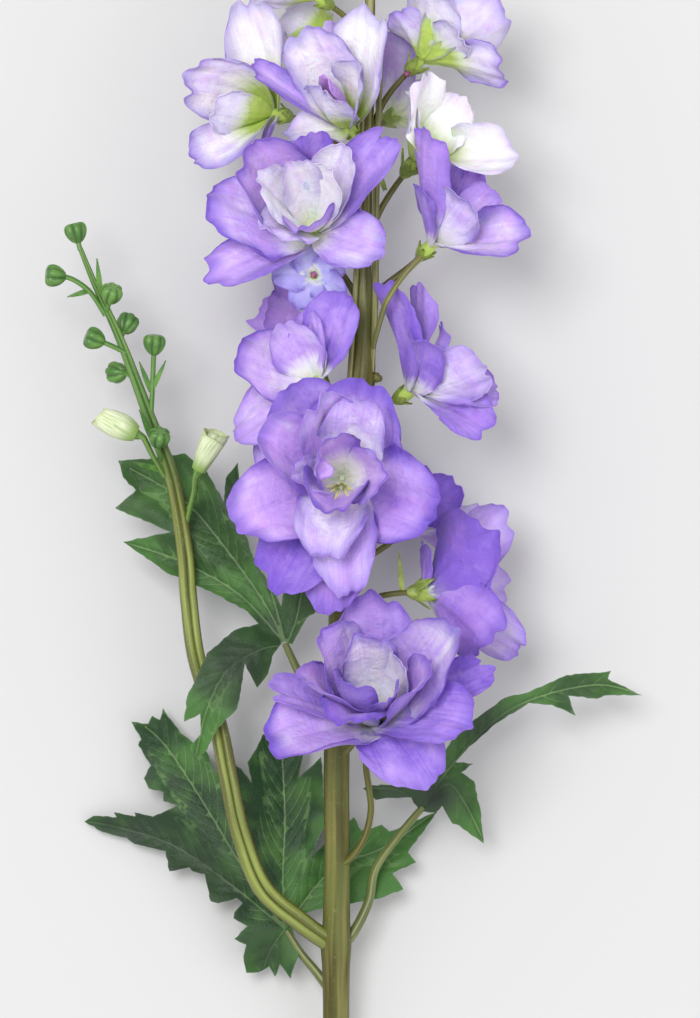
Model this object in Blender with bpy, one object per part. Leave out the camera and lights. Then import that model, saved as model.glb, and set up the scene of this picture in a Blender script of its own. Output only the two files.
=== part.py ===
"""A cut delphinium spray with cloth petals and leaves on moulded stems, lying on a table.

It lies on its back: x runs across the spray, y runs up along its stem and z is the height over the table.
Each flower, leaf and bud is a piece of its own. A flower's petals are thin sheets around a core, all made by
one formula. Plan places are (across, down, height): across and down in picture pixels of MM_PER_PX each,
height in millimetres.
"""
import math
import random

import bmesh
import bpy
from mathutils import Matrix, Quaternion, Vector
from mathutils.geometry import delaunay_2d_cdt

MM = 0.001
MM_PER_PX = 0.33
ORIGIN_PX = (345.0, 561.0)  # plan place of the part's origin, under the middle of its box

SEAT_GAP = 0.3              # between two pieces that meet
STEM_CUT = 0.4              # how far branches and petioles end off the stem's surface
PETAL_THICKNESS = 0.8
LEAF_THICKNESS = 0.9
LEAF_CLEARANCE = 1.2        # a blade's least height over the table
RIB_BLEND = 20.0            # how softly the heights of a leaf's ribs blend, in square pixels
RIB_REACH = 40              # the blade stops rising this many pixels from a rib
CALYX_LENGTH = 3.6
CALYX_RADIUS = 2.7
CORE_RADIUS = 2.6
CORE_LENGTH = 2.6           # of a core whose petals don't rise
PEDICEL_RADIUS = 0.95
PEDICEL_PIECES = 4
BUD_RADIUS = 3.9
BUD_STALK_RADIUS = 0.8
BRACT_WIDTH = 1.8
BRACT_TIP_RADIUS = 0.25
PETIOLE_RADIUS = 1.1        # at the blade
PETIOLE_SWELL = 0.7         # how much thicker it gets down to the stem
PALE_BUD_LENGTH = 15.0
PALE_BUD_RADIUS = 4.3

# Petal shape: half width at the foot, share of the width left at the tip, where the petal is widest, how far
# its edges fall short of its tip, and how much each petal turns to lap over its neighbour.
PETAL_FOOT = 1.2
PETAL_TIP = 0.90
PETAL_WIDEST = 0.72
PETAL_ROUND = 0.30
PETAL_LAP = 12.0
PETAL_SEAT = 1.2            # height over the foot where the lowest petals start
PETAL_STEP = 0.3            # share of its rise by which a petal starts further up the core
PETAL_KNEE = 0.25           # share of its reach at which a petal bends outward
SQUEEZE_DEPTH = 3.0         # over this depth petals flatten against a height limit
FLAT_ANGLE = math.radians(0.8)

# The stem's centre line with its radius: (across, down, height, radius).
MAIN_STEM = [
    (336, 1380, 4.48, 4.5), (336, 1180, 10, 4.5), (336, 1018, 17, 4.5), (336, 950, 20, 4.8),
    (337, 860, 25, 4.4), (337, 740, 31, 4.4), (345, 560, 40, 4.3), (361, 380, 47, 4.3), (365, 300, 49, 3.2),
    (368, 200, 50, 2.6), (371, 60, 49, 2.3), (373, -60, 46, 1.9), (374, -160, 43, 1.6), (372, -246, 40, 1.3),
]
BUD_BRANCH = [
    (334, 950, 20, 3.4), (300, 925, 25, 3.4), (262, 890, 29, 3.4), (240, 835, 32, 3.3), (228, 780, 33, 3.2),
    (217, 725, 33, 3.1), (196, 660, 33, 3.0), (188, 600, 33, 2.9), (184, 550, 34, 2.8), (172, 480, 36, 2.5),
    (150, 420, 38, 2.1), (120, 340, 40, 1.5), (95, 285, 42, 1.1), (80, 248, 43, 0.8),
]
# Green buds of the branch: place of the bud, then the points of its pedicel back to the branch.
BRANCH_BUDS = [
    [(76, 233, 43), (80, 250, 43)],
    [(56, 276, 46), (72, 279, 45), (90, 292, 43), (105, 315, 41)],
    [(111, 295, 45), (106, 312, 41)],
    [(126, 324, 36), (120, 338, 39)],
    [(95, 339, 43), (110, 345, 42), (125, 352, 40)],
    [(154, 345, 42), (153, 364, 41), (152, 390, 40), (150, 422, 38)],
    [(117, 372, 34), (128, 374, 37), (137, 384, 39)],
    [(159, 439, 45), (158, 450, 42), (162, 462, 37)],
]
# The pale buds: foot of the bud, its tip, then its pedicel down to the branch.
PALE_BUDS = {
    "pale_bud_left": [(136, 434, 45), (94, 415, 46), (152, 455, 42), (164, 476, 37)],
    "pale_bud_right": [(199, 470, 47), (217, 434, 50), (194, 490, 42), (186, 522, 35)],
}
# Small pointed bracts: foot and tip.
BRANCH_BRACTS = [
    [(100, 292, 42), (97, 258, 46)],
    [(150, 392, 40), (166, 360, 43)],
    [(160, 470, 37), (132, 462, 45)],
    [(186, 514, 35), (199, 484, 40)],
]
STEM_BRACTS = [
    [(385, 190, 47), (374, 160, 52)],
    [(402, 592, 43.6), (399, 552, 46)],
]
TIP_BUDS = 7                # green buds that spiral round the stem's tip
TIP_BUD_TURN = 137.5

# Petal fields: tip (across, down, height), width, rise along the flower's axis, cup, ruffle, roll in degrees.
# Flower fields: foot, axis, heights that its petals keep between, where its pedicel leaves the stem, petals.
# A petal whose tip is given under the table comes to lie flat on it.
FLOWERS = {
    "bloom_front": {
        "foot": (342, 480, 58), "axis": (0.0, 0.1, 1.0), "heights": (61, 110), "stem_at": 570,
        "petals": [
            ((284, 388, 71), 31, 3, 0.10, 1.2, 0), ((368, 385, 72), 32, 3, 0.10, 1.2, 0),
            ((434, 507, 73), 31, 3, 0.08, 1.2, 0), ((334, 611, 69), 25, 3, 0.12, 1.0, 0),
            ((272, 589, 69), 26, 3, 0.12, 1.0, 0), ((236, 510, 82), 29, 7, 0.12, 1.3, 0),
            ((263, 431, 84), 22, 8, 0.16, 1.4, 0), ((321, 398, 87), 22, 8, 0.16, 1.4, 0),
            ((372, 408, 86), 22, 9, 0.18, 1.3, 0), ((324, 554, 83), 21, 8, 0.18, 1.3, 0),
            ((345, 592, 78), 21, 6, 0.14, 1.2, 0), ((300, 455, 92), 15, 12, 0.25, 0.8, 0),
            ((380, 478, 92), 15, 12, 0.25, 0.8, 0), ((334, 514, 92), 17, 12, 0.25, 0.8, 0),
        ],
    },
    "bloom_low": {
        "foot": (374, 733, 45), "axis": (0.0, 0.6, 0.8), "heights": (44, 100), "stem_at": 862,
        "petals": [
            ((366, 592, 62), 28, 9, 0.10, 1.2, 0), ((328, 628, 76), 22, 12, 0.15, 1.2, 0),
            ((450, 628, 80), 27, 12, 0.12, 1.3, 0), ((491, 668, 62), 15, 9, 0.10, 1.0, 0),
            ((378, 641, 84), 16, 16, 0.22, 0.8, 0), ((424, 665, 88), 15, 18, 0.22, 0.8, 0),
            ((305, 682, 82), 14, 16, 0.25, 0.8, 0), ((268, 688, 70), 14, 10, 0.15, 1.0, 0),
            ((270, 742, 72), 29, 12, 0.10, 1.4, 0), ((467, 718, 80), 22, 16, 0.15, 1.3, 0),
            ((428, 784, 68), 26, 14, 0.12, 1.2, 0), ((350, 722, 91), 15, 22, 0.22, 0.8, 0),
        ],
    },
    "bloom_left_upper": {
        "foot": (316, 238, 60), "axis": (-0.1, 0.35, 0.9), "heights": (61, 110), "stem_at": 330,
        "petals": [
            ((210, 203, 76), 26, 6, 0.10, 1.3, 0), ((208, 279, 71), 15, 4, 0.12, 1.0, 0),
            ((312, 139, 76), 19, 6, 0.12, 1.0, 0), ((391, 140, 84), 16, 10, 0.30, 1.0, 0),
            ((387, 258, 78), 16, 7, 0.10, 1.0, 0), ((245, 155, 86), 20, 10, 0.15, 1.2, 0),
            ((344, 152, 88), 11, 12, 0.15, 0.8, 0), ((262, 184, 91), 13, 14, 0.20, 0.8, 0),
            ((336, 165, 94), 14, 16, 0.20, 0.8, 0), ((302, 160, 95), 11, 16, 0.20, 0.7, 0),
            ((268, 232, 86), 13, 12, 0.18, 0.8, 0),
        ],
    },
    "bloom_left_mid": {
        "foot": (322, 384, 54), "axis": (-0.5, 0.35, 0.7), "heights": (49, 66.5), "stem_at": 440,
        "petals": [
            ((235, 352, 63), 25, 6, 0.10, 1.1, 0), ((288, 321, 66), 15, 8, 0.15, 0.8, 0),
            ((308, 316, 67), 10, 8, 0.15, 0.6, 0), ((346, 294, 66), 18, 6, 0.25, 0.8, 25),
            ((238, 440, 57), 25, 4, 0.10, 1.0, 0), ((266, 476, 54), 16, 2, 0.10, 1.0, 0),
        ],
    },
    "bloom_right_mid": {
        "foot": (401, 397, 50), "axis": (0.75, 0.4, 0.3), "heights": (26, 80), "stem_at": 470,
        "petals": [
            ((384, 284, 62), 17, 5, 0.20, 0.8, 55), ((414, 285, 50), 16, 8, 0.20, 0.8, 45),
            ((420, 336, 70), 16, 9, 0.20, 0.8, 0), ((446, 326, 54), 16, 10, 0.20, 0.8, 25),
            ((484, 366, 68), 20, 12, 0.15, 1.0, 0), ((499, 394, 54), 14, 12, 0.15, 0.8, 0),
            ((488, 426, 62), 20, 9, 0.15, 1.0, 35), ((458, 392, 30), 18, 9, 0.15, 0.8, 0),
        ],
    },
    "bloom_right_low": {
        "foot": (416, 592, 42), "axis": (0.85, 0.05, -0.3), "heights": (18, 66), "stem_at": 640,
        "petals": [
            ((504, 526, 62), 27, 7, 0.20, 1.0, 0), ((490, 654, 60), 27, 7, 0.20, 1.0, 0),
            ((510, 506, 36), 18, 8, 0.15, 0.8, 0), ((526, 645, 38), 16, 9, 0.15, 0.8, 0),
            ((512, 585, 22), 20, 8, 0.15, 0.8, 0), ((424, 541, 42), 8, 2, 0.10, 0.5, 0),
        ],
    },
    "bloom_right_upper": {
        "foot": (424, 253, 50), "axis": (0.6, 0.6, 0.4), "heights": (26, 80), "stem_at": 330,
        "petals": [
            ((422, 134, 70), 15, 8, 0.25, 0.7, 50), ((418, 188, 68), 10, 6, 0.15, 0.6, 0),
            ((470, 157, 46), 18, 10, 0.15, 0.9, 0), ((496, 192, 54), 13, 14, 0.15, 0.7, 0),
            ((462, 202, 69), 18, 12, 0.20, 0.9, 0), ((525, 238, 66), 21, 10, 0.20, 1.2, 40),
            ((486, 216, 30), 18, 9, 0.15, 0.9, 0),
        ],
    },
    "bloom_upper_mid": {
        "foot": (352, 135, 58), "axis": (-0.35, 0.5, 0.75), "heights": (58, 96), "stem_at": 230,
        "petals": [
            ((251, 70, 74), 9, 9, 0.35, 0.6, 0), ((308, 38, 80), 21, 10, 0.12, 1.1, 0),
            ((368, 16, 76), 19, 8, 0.15, 1.1, 0), ((286, 138, 66), 19, 5, 0.12, 1.0, 0),
            ((340, 72, 86), 15, 12, 0.20, 0.8, 0), ((334, 26, 66), 15, 6, 0.12, 0.8, 0),
        ],
    },
    "bloom_upper_left": {
        "foot": (284, 116, 47), "axis": (-0.8, 0.15, 0.35), "heights": (24, 64), "stem_at": 250,
        "petals": [
            ((181, 80, 58), 20, 8, 0.15, 1.1, 35), ((192, 160, 57), 17, 8, 0.15, 1.0, -50),
            ((248, 0, 52), 21, 4, 0.15, 1.0, 45), ((262, 160, 52), 8, 2, 0.15, 0.5, 0),
            ((212, 116, 62), 13, 12, 0.20, 0.8, 0), ((214, 58, 30), 18, 6, 0.15, 0.9, 0),
        ],
    },
    "bloom_upper_right": {
        "foot": (408, 170, 50), "axis": (0.5, 0.65, 0.2), "heights": (26, 74), "stem_at": 290,
        "petals": [
            ((418, 81, 55), 18, 6, 0.20, 0.8, -55), ((450, 82, 52), 18, 8, 0.20, 0.8, -45),
            ((515, 156, 58), 20, 8, 0.20, 1.0, 40), ((472, 122, 66), 17, 10, 0.20, 0.8, 0),
            ((474, 112, 32), 16, 6, 0.15, 0.8, 0),
        ],
    },
    "bloom_top_right": {
        "foot": (413, 68, 47), "axis": (0.55, 0.55, 0.0), "heights": (22, 70), "stem_at": 190,
        "petals": [
            ((404, -8, 46), 8, 5, 0.20, 0.6, -55), ((430, -12, 56), 15, 7, 0.20, 0.7, -45),
            ((505, 8, 54), 19, 8, 0.20, 0.9, 30), ((507, 77, 56), 17, 8, 0.20, 0.9, 35),
            ((460, 24, 64), 14, 9, 0.20, 0.8, 0), ((470, 20, 28), 16, 6, 0.15, 0.8, 0),
        ],
    },
    "bloom_top_left": {
        "foot": (325, 3, 50), "axis": (-0.7, 0.45, 0.2), "heights": (34, 72), "stem_at": 120,
        "petals": [
            ((248, -14, 62), 13, 6, 0.20, 0.8, 30), ((268, -66, 60), 16, 8, 0.20, 0.9, 40),
            ((318, -74, 52), 14, 5, 0.20, 0.8, 50), ((262, -44, 38), 14, 6, 0.15, 0.8, 0),
        ],
    },
    "floret_small": {
        "foot": (314, 277, 53), "axis": (0.0, 0.05, 1.0), "heights": (52, 62), "stem_at": 345,
        "petals": [
            ((302, 240, 58), 10, 4, 0.10, 0.3, 0), ((273, 274, 60), 10, 4, 0.10, 0.3, 0),
            ((300, 312, 60), 10, 4, 0.10, 0.3, 0), ((343, 302, 60), 10, 4, 0.10, 0.3, 0),
            ((345, 262, 60), 9, 4, 0.10, 0.3, 0),
        ],
    },
    "bloom_back_left": {
        "foot": (322, 314, 35), "axis": (-0.45, 0.1, -0.6), "heights": (0, 46), "stem_at": 380,
        "petals": [
            ((280, 246, 36), 16, 5, 0.15, 0.9, 0), ((264, 310, 40), 17, 5, 0.15, 0.9, 0),
            ((304, 256, 4), 18, 6, 0.15, 0.9, 0), ((258, 302, -20), 19, 8, 0.15, 0.9, 0),
            ((312, 372, 5), 18, 6, 0.15, 0.9, 0),
        ],
    },
    "bloom_back_right": {
        "foot": (402, 532, 29), "axis": (0.5, 0.5, -0.5), "heights": (0, 40), "stem_at": 600,
        "petals": [
            ((457, 481, 35), 14, 5, 0.15, 0.8, 0), ((420, 464, 28), 15, 5, 0.15, 0.8, 0),
            ((452, 556, 6), 18, 6, 0.15, 0.9, 0), ((478, 508, 8), 18, 8, 0.15, 0.9, 0),
            ((432, 479, -19), 19, 7, 0.15, 0.9, 0),
        ],
    },
    "bloom_back_upper_left": {
        "foot": (334, 42, 36), "axis": (-0.7, 0.3, -0.3), "heights": (8, 44), "stem_at": 150,
        "petals": [
            ((278, 16, 38), 11, 5, 0.15, 0.7, 0), ((300, -10, 30), 14, 5, 0.15, 0.8, 0),
            ((284, 46, 18), 14, 6, 0.15, 0.8, 0), ((306, 80, 24), 13, 5, 0.15, 0.8, 0),
        ],
    },
    "bloom_back_upper_right": {
        "foot": (388, 118, 35), "axis": (0.35, 0.25, -0.6), "heights": (6, 42), "stem_at": 215,
        "petals": [
            ((394, 28, 30), 14, 5, 0.15, 0.8, 0), ((446, 92, 26), 15, 5, 0.15, 0.8, 0),
            ((372, 76, 14), 15, 6, 0.15, 0.8, 0), ((424, 140, 12), 16, 6, 0.15, 0.8, 0),
        ],
    },
}
# Young flowers above the rest: foot, axis, height limits, pedicel's start, number of petals, their length and
# width, seed.
YOUNG_FLOWERS = {
    "bloom_crown_front": ((372, -62, 54), (0.0, 0.45, 0.9), (54, 90), 40, 5, 19.0, 15.0, 3),
    "bloom_crown_left": ((340, -118, 44), (-0.7, 0.5, 0.15), (24, 66), -30, 5, 17.0, 13.0, 5),
    "bloom_crown_right": ((406, -124, 42), (0.7, 0.5, 0.1), (24, 66), -50, 5, 17.0, 13.0, 8),
}

# Leaves: outline and ribs in plan, and the height along each rib.
LEAVES = {
    "leaf_low": {
        "outline": [
            (296, 948), (298, 962), (295, 968), (290, 985), (279, 970), (274, 983), (268, 973),
            (257, 979), (245, 979), (242, 962), (245, 950), (233, 944), (246, 931), (232, 923),
            (233, 917), (241, 908), (235, 903), (217, 908), (209, 906), (203, 879), (190, 876),
            (187, 872), (167, 876), (163, 856), (150, 853), (131, 849), (123, 843), (98, 837), (80, 827),
            (89, 821), (113, 822), (110, 817), (132, 821), (131, 817), (150, 821), (175, 809), (161, 805),
            (161, 796), (146, 792), (141, 782), (148, 769), (135, 749), (138, 743), (128, 725),
            (145, 727), (149, 719), (157, 723), (160, 711), (178, 736), (205, 755), (214, 777),
            (224, 761), (240, 772), (250, 786), (246, 766), (255, 752), (261, 738), (282, 734),
            (304, 750), (298, 781), (321, 760), (324, 809), (326, 826), (309, 864), (334, 836),
            (354, 821), (362, 835), (382, 829), (390, 836), (439, 816), (409, 857), (417, 867),
            (393, 878), (404, 894), (384, 902), (330, 912), (305, 918), (292, 930),
        ],
        "ribs": [
            [(284, 934, 14), (246, 880, 15), (205, 812, 13), (165, 752, 9), (142, 730, 5)],
            [(284, 934, 14), (230, 890, 12), (170, 850, 8), (112, 832, 4), (82, 827, 2.5)],
            [(284, 934, 14), (282, 880, 13), (284, 820, 10), (280, 742, 6)],
            [(284, 934, 14), (330, 876, 11), (385, 852, 9), (436, 817, 7)],
            [(284, 934, 14), (270, 955, 11), (262, 976, 8)],
        ],
        "petiole": [(286, 936, 14), (300, 958, 15), (318, 980, 16), (334, 1002, 17.5)],
        "fold": 0.10,
    },
    "leaf_mid_left": {
        "outline": [
            (283, 642), (272, 657), (268, 674), (257, 688), (245, 664), (241, 690), (237, 709),
            (218, 728), (207, 750), (195, 761), (190, 746), (200, 735), (200, 714), (184, 722),
            (187, 697), (207, 653), (235, 630), (258, 624), (247, 612), (218, 596), (180, 579),
            (165, 573), (153, 564), (138, 554), (121, 542), (169, 532), (113, 508), (134, 490),
            (121, 477), (116, 460), (150, 458), (184, 453), (206, 471), (223, 502), (225, 478),
            (237, 462), (240, 490), (236, 512), (256, 564), (273, 588), (281, 606), (284, 590),
            (300, 581), (321, 608), (306, 619), (292, 645),
        ],
        "ribs": [
            [(286, 646, 37), (262, 600, 34), (218, 540, 28), (182, 500, 25), (128, 468, 22)],
            [(286, 646, 37), (240, 596, 32), (180, 562, 27), (124, 543, 22)],
            [(286, 646, 37), (260, 650, 42), (226, 672, 45), (206, 712, 43), (195, 758, 36)],
            [(286, 646, 37), (270, 590, 35), (244, 520, 31), (237, 466, 28)],
            [(286, 646, 37), (296, 620, 38), (302, 590, 38)],
        ],
        "petiole": [(285, 644, 37), (296, 668, 36), (312, 700, 34), (330, 738, 31.5)],
        "fold": 0.10,
    },
    "leaf_mid_right": {
        "outline": [
            (420, 814), (412, 800), (393, 800), (376, 802), (363, 790), (372, 787), (400, 786),
            (424, 782), (436, 768), (452, 742), (462, 730), (490, 710), (505, 699), (530, 693),
            (568, 676), (600, 674), (613, 672), (610, 680), (645, 697), (606, 697), (599, 700),
            (570, 697), (577, 717), (553, 706), (530, 704), (498, 724), (470, 748), (456, 764),
            (474, 765), (462, 774), (475, 783), (482, 814), (485, 847), (460, 828), (453, 826),
            (443, 808), (436, 815),
        ],
        "ribs": [
            [(421, 812, 24), (452, 768, 28), (495, 722, 31), (540, 698, 30), (600, 686, 27), (643, 696, 22)],
            [(421, 812, 24), (448, 786, 27), (466, 806, 25), (484, 842, 18)],
            [(421, 812, 24), (400, 793, 26), (366, 790, 28)],
        ],
        "petiole": [
            (424, 809, 24), (399, 839, 20), (376, 872, 18), (369, 905, 18), (354, 936, 19), (336, 958, 20),
        ],
        "fold": 0.12,
    },
}

# Colour, roughness.
STEM_OLIVE = ((0.16, 0.15, 0.04, 1.0), 0.42)
BUD_GREEN = ((0.05, 0.22, 0.05, 1.0), 0.45)
BUD_CREAM = ((0.72, 0.80, 0.55, 1.0), 0.70)
LEAF_GREEN = ((0.03, 0.10, 0.04, 1.0), 0.60)
PETAL_VIOLET = ((0.30, 0.17, 0.75, 1.0), 0.75)
PETAL_LILAC = ((0.52, 0.38, 0.85, 1.0), 0.75)
PETAL_WHITE = ((0.85, 0.82, 0.90, 1.0), 0.75)
VIOLET_FLOWERS = {"bloom_front", "bloom_low", "bloom_right_low", "bloom_right_mid", "bloom_back_right",
                  "bloom_back_left"}
WHITE_FLOWERS = {"bloom_upper_mid", "bloom_upper_left", "bloom_upper_right", "bloom_top_right",
                 "bloom_top_left", "bloom_back_upper_left", "bloom_back_upper_right", "bloom_crown_front",
                 "bloom_crown_left", "bloom_crown_right"}


def place(spot):
    """A plan spot (across, down, height) in metres in the part's own frame."""
    across, down, height = spot
    aside = (across - ORIGIN_PX[0]) * MM_PER_PX
    along = (ORIGIN_PX[1] - down) * MM_PER_PX
    return Vector((aside, along, height)) * MM


def finish(name, colour):
    """A matte material with the piece's own colour."""
    tint, roughness = colour
    material = bpy.data.materials.new(name + "_finish")
    material.use_nodes = True
    shader = material.node_tree.nodes["Principled BSDF"]
    shader.inputs["Base Color"].default_value = tint
    shader.inputs["Roughness"].default_value = roughness
    shader.inputs["Metallic"].default_value = 0.0
    return material


def new_object(name, mesh):
    """A mesh as an object of the scene."""
    item = bpy.data.objects.new(name, mesh)
    bpy.context.scene.collection.objects.link(item)
    return item


def evaluated_mesh(item):
    """The mesh of an object with its modifiers or its bevel worked in."""
    bpy.context.view_layer.update()
    graph = bpy.context.evaluated_depsgraph_get()
    return bpy.data.meshes.new_from_object(item.evaluated_get(graph), depsgraph=graph)


def fuse(name, shapes, colour):
    """Join closed meshes into one body by a Boolean union on a collection."""
    group = bpy.data.collections.new(name + "_parts")
    bpy.context.scene.collection.children.link(group)
    for number, mesh in enumerate(shapes[1:]):
        group.objects.link(bpy.data.objects.new(f"{name}_part_{number}", mesh))
    body = new_object(name, shapes[0])
    union = body.modifiers.new("union", "BOOLEAN")
    union.operation = "UNION"
    union.operand_type = "COLLECTION"
    union.collection = group
    union.solver = "EXACT"
    joined = evaluated_mesh(body)
    body.modifiers.remove(union)
    body.data = joined
    for item in list(group.objects):
        bpy.data.objects.remove(item)
    bpy.data.collections.remove(group)
    tidy(joined)
    joined.materials.clear()
    joined.materials.append(finish(name, colour))
    return body


def tidy(mesh):
    """Join the flat faces that a union split, and leave only triangles."""
    shape = bmesh.new()
    shape.from_mesh(mesh)
    bmesh.ops.dissolve_degenerate(shape, dist=1e-7, edges=shape.edges)
    bmesh.ops.dissolve_limit(shape, angle_limit=FLAT_ANGLE, verts=shape.verts, edges=shape.edges)
    bmesh.ops.triangulate(shape, faces=shape.faces)
    shape.to_mesh(mesh)
    shape.free()


def spline_value(p, q, r, s, t):
    """A value at a share t of the way from q to r, on a smooth curve through p, q, r and s."""
    bend = 2 * p - 5 * q + 4 * r - s
    twist = 3 * q - p - 3 * r + s
    return 0.5 * (2 * q + (r - p) * t + bend * t ** 2 + twist * t ** 3)


def smooth_run(points, pieces):
    """Points on a smooth curve through the given points, each a tuple of numbers."""
    padded = [points[0]] + list(points) + [points[-1]]
    run = []
    for spots in zip(padded, padded[1:], padded[2:], padded[3:]):
        for step in range(pieces):
            run.append(tuple(spline_value(*values, step / pieces) for values in zip(*spots)))
    run.append(tuple(points[-1]))
    return run


def tube(points, radii, bevel_resolution):
    """A closed tube through points in metres, with a radius in millimetres at each."""
    line = bpy.data.curves.new("tube", "CURVE")
    line.dimensions = "3D"
    line.bevel_depth = MM
    line.bevel_resolution = bevel_resolution
    line.use_fill_caps = True
    spline = line.splines.new("POLY")
    spline.points.add(len(points) - 1)
    for knot, point, radius in zip(spline.points, points, radii):
        knot.co = (*point, 1.0)
        knot.radius = radius
    item = new_object("tube", line)
    mesh = evaluated_mesh(item)
    bpy.data.objects.remove(item)
    weld(mesh)
    return mesh


def weld(mesh):
    """Join the caps of a tube to its wall and point its faces out."""
    shape = bmesh.new()
    shape.from_mesh(mesh)
    bmesh.ops.remove_doubles(shape, verts=shape.verts, dist=1e-6)
    bmesh.ops.recalc_face_normals(shape, faces=shape.faces)
    shape.to_mesh(mesh)
    shape.free()


def cone(foot, axis, foot_radius, top_radius, length, sides):
    """A closed cone along an axis, from its foot, with sizes in millimetres."""
    shape = bmesh.new()
    bmesh.ops.create_cone(shape, cap_ends=True, segments=sides, radius1=foot_radius * MM,
                          radius2=top_radius * MM, depth=length * MM)
    turn = Vector((0, 0, 1)).rotation_difference(axis).to_matrix().to_4x4()
    middle = foot + axis * (length * MM / 2)
    bmesh.ops.transform(shape, matrix=Matrix.Translation(middle) @ turn, verts=shape.verts)
    mesh = bpy.data.meshes.new("cone")
    shape.to_mesh(mesh)
    shape.free()
    return mesh


def oval(centre, axis, radius, length, sides, rings):
    """A closed egg around a centre, long along an axis, with sizes in millimetres."""
    shape = bmesh.new()
    bmesh.ops.create_uvsphere(shape, u_segments=sides, v_segments=rings, radius=radius * MM)
    stretch = Matrix.Diagonal((1, 1, length / (2 * radius), 1))
    turn = Vector((0, 0, 1)).rotation_difference(axis).to_matrix().to_4x4()
    bmesh.ops.transform(shape, matrix=Matrix.Translation(centre) @ turn @ stretch, verts=shape.verts)
    mesh = bpy.data.meshes.new("oval")
    shape.to_mesh(mesh)
    shape.free()
    return mesh


def squeeze(height, low, high):
    """Keep a height between two limits, flattening smoothly as it nears them."""
    if low <= 0 and height < SQUEEZE_DEPTH:
        return max(height, PETAL_THICKNESS / 2)
    if height > high - SQUEEZE_DEPTH:
        over = (height - high + SQUEEZE_DEPTH) / SQUEEZE_DEPTH
        return high - SQUEEZE_DEPTH * math.exp(-over)
    if height < low + SQUEEZE_DEPTH:
        under = (low + SQUEEZE_DEPTH - height) / SQUEEZE_DEPTH
        return low + SQUEEZE_DEPTH * math.exp(-under)
    return height


def half_width(width, t):
    """A petal's half width at a share t of its length."""
    if t < PETAL_WIDEST:
        return PETAL_FOOT + (width / 2 - PETAL_FOOT) * math.sin(math.pi / 2 * t / PETAL_WIDEST) ** 0.9
    past = (t - PETAL_WIDEST) / (1 - PETAL_WIDEST)
    return width / 2 * (1 - (1 - PETAL_TIP) * past * past)


def petal_point(foot, axis, petal, heights, phase, s, t):
    """Centre of the petal's cloth and its inner side's direction, for s across (-1 to 1) and t along."""
    tip, width, rise, cup, ruffle, roll = petal
    end = place(tip)
    reach = end - foot
    outward = (reach - axis * reach.dot(axis)).normalized()
    start = foot + axis * ((PETAL_SEAT + PETAL_STEP * rise) * MM) + outward * (0.3 * CORE_RADIUS * MM)
    reach = end - start
    along = t * (1 - PETAL_ROUND * abs(s) ** 2.5 * t)
    knee = start + axis * (rise * MM) + outward * (PETAL_KNEE * reach.length)
    centre = start * (1 - along) ** 2 + knee * (2 * along * (1 - along)) + end * along ** 2
    tangent = ((knee - start) * (1 - along) + (end - knee) * along).normalized()
    turn = Quaternion(tangent, math.radians(PETAL_LAP + roll) * along)
    across = turn @ axis.cross(outward).normalized()
    inner = tangent.cross(across).normalized()
    half = half_width(width, t)
    wave = ruffle * t * t * math.sin(phase + 2.6 * s + 1.3 * t)
    point = centre + across * (s * half * MM) + inner * ((cup * half * 2 * s * s + wave) * MM)
    low, high = heights
    point.z = squeeze(point.z / MM, low, high) * MM
    return point, inner


def sheet(rows_of_points, thickness):
    """A closed sheet of even thickness from a grid of centre points with directions, split alike on both
    faces."""
    shape = bmesh.new()
    half = thickness / 2 * MM
    inner, outer = [], []
    for row in rows_of_points:
        inner.append([shape.verts.new(lifted(point, direction * half)) for point, direction in row])
        outer.append([shape.verts.new(lifted(point, -direction * half)) for point, direction in row])
    rows, columns = len(inner) - 1, len(inner[0]) - 1
    for row in range(rows):
        for column in range(columns):
            for side, flip in ((inner, False), (outer, True)):
                a, b = side[row][column], side[row][column + 1]
                c, d = side[row + 1][column + 1], side[row + 1][column]
                cells = [(a, b, c), (a, c, d)] if column >= columns / 2 else [(a, b, d), (b, c, d)]
                for cell in cells:
                    shape.faces.new(tuple(reversed(cell)) if flip else cell)
    border = [(0, column) for column in range(columns)] + [(row, columns) for row in range(rows)]
    border += [(rows, column) for column in range(columns, 0, -1)] + [(row, 0) for row in range(rows, 0, -1)]
    for (r0, c0), (r1, c1) in zip(border, border[1:] + border[:1]):
        shape.faces.new((inner[r1][c1], inner[r0][c0], outer[r0][c0]))
        shape.faces.new((inner[r1][c1], outer[r0][c0], outer[r1][c1]))
    bmesh.ops.recalc_face_normals(shape, faces=shape.faces)
    mesh = bpy.data.meshes.new("sheet")
    shape.to_mesh(mesh)
    shape.free()
    return mesh


def lifted(point, offset):
    """A point moved by an offset, pressed flat on the table where it comes down to it."""
    moved = point + offset
    if offset.z < 0 and moved.z < 0.4 * PETAL_THICKNESS * MM:
        moved.z = 0.0
    if offset.z >= 0 and moved.z < PETAL_THICKNESS * MM:
        moved.z = PETAL_THICKNESS * MM
    return moved


def petal_cells(tip, width):
    """How many cells a petal has across and along: more where it is wide or lies on the table."""
    if tip[2] < 0:
        return 4, 4
    if width > 27.5:
        return 4, 3
    return (4, 2) if width > 14.5 else (2, 2)


def ring_of_petals(foot_spot, axis, count, length, width, seed):
    """The petals of a young flower, evenly round its axis with a little seeded variation."""
    draw = random.Random(seed)
    foot = place(foot_spot)
    side = axis.orthogonal().normalized()
    petals = []
    for number in range(count):
        angle = 2 * math.pi * (number + draw.uniform(-0.12, 0.12)) / count
        outward = Quaternion(axis, angle) @ side
        end = foot + (outward * draw.uniform(0.72, 0.82) + axis * draw.uniform(0.55, 0.7)) * (length * MM)
        spot = (end.x / MM / MM_PER_PX + ORIGIN_PX[0], ORIGIN_PX[1] - end.y / MM / MM_PER_PX, end.z / MM)
        petals.append((spot, width, length * 0.35, 0.2, 0.8, 0))
    return petals


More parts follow.
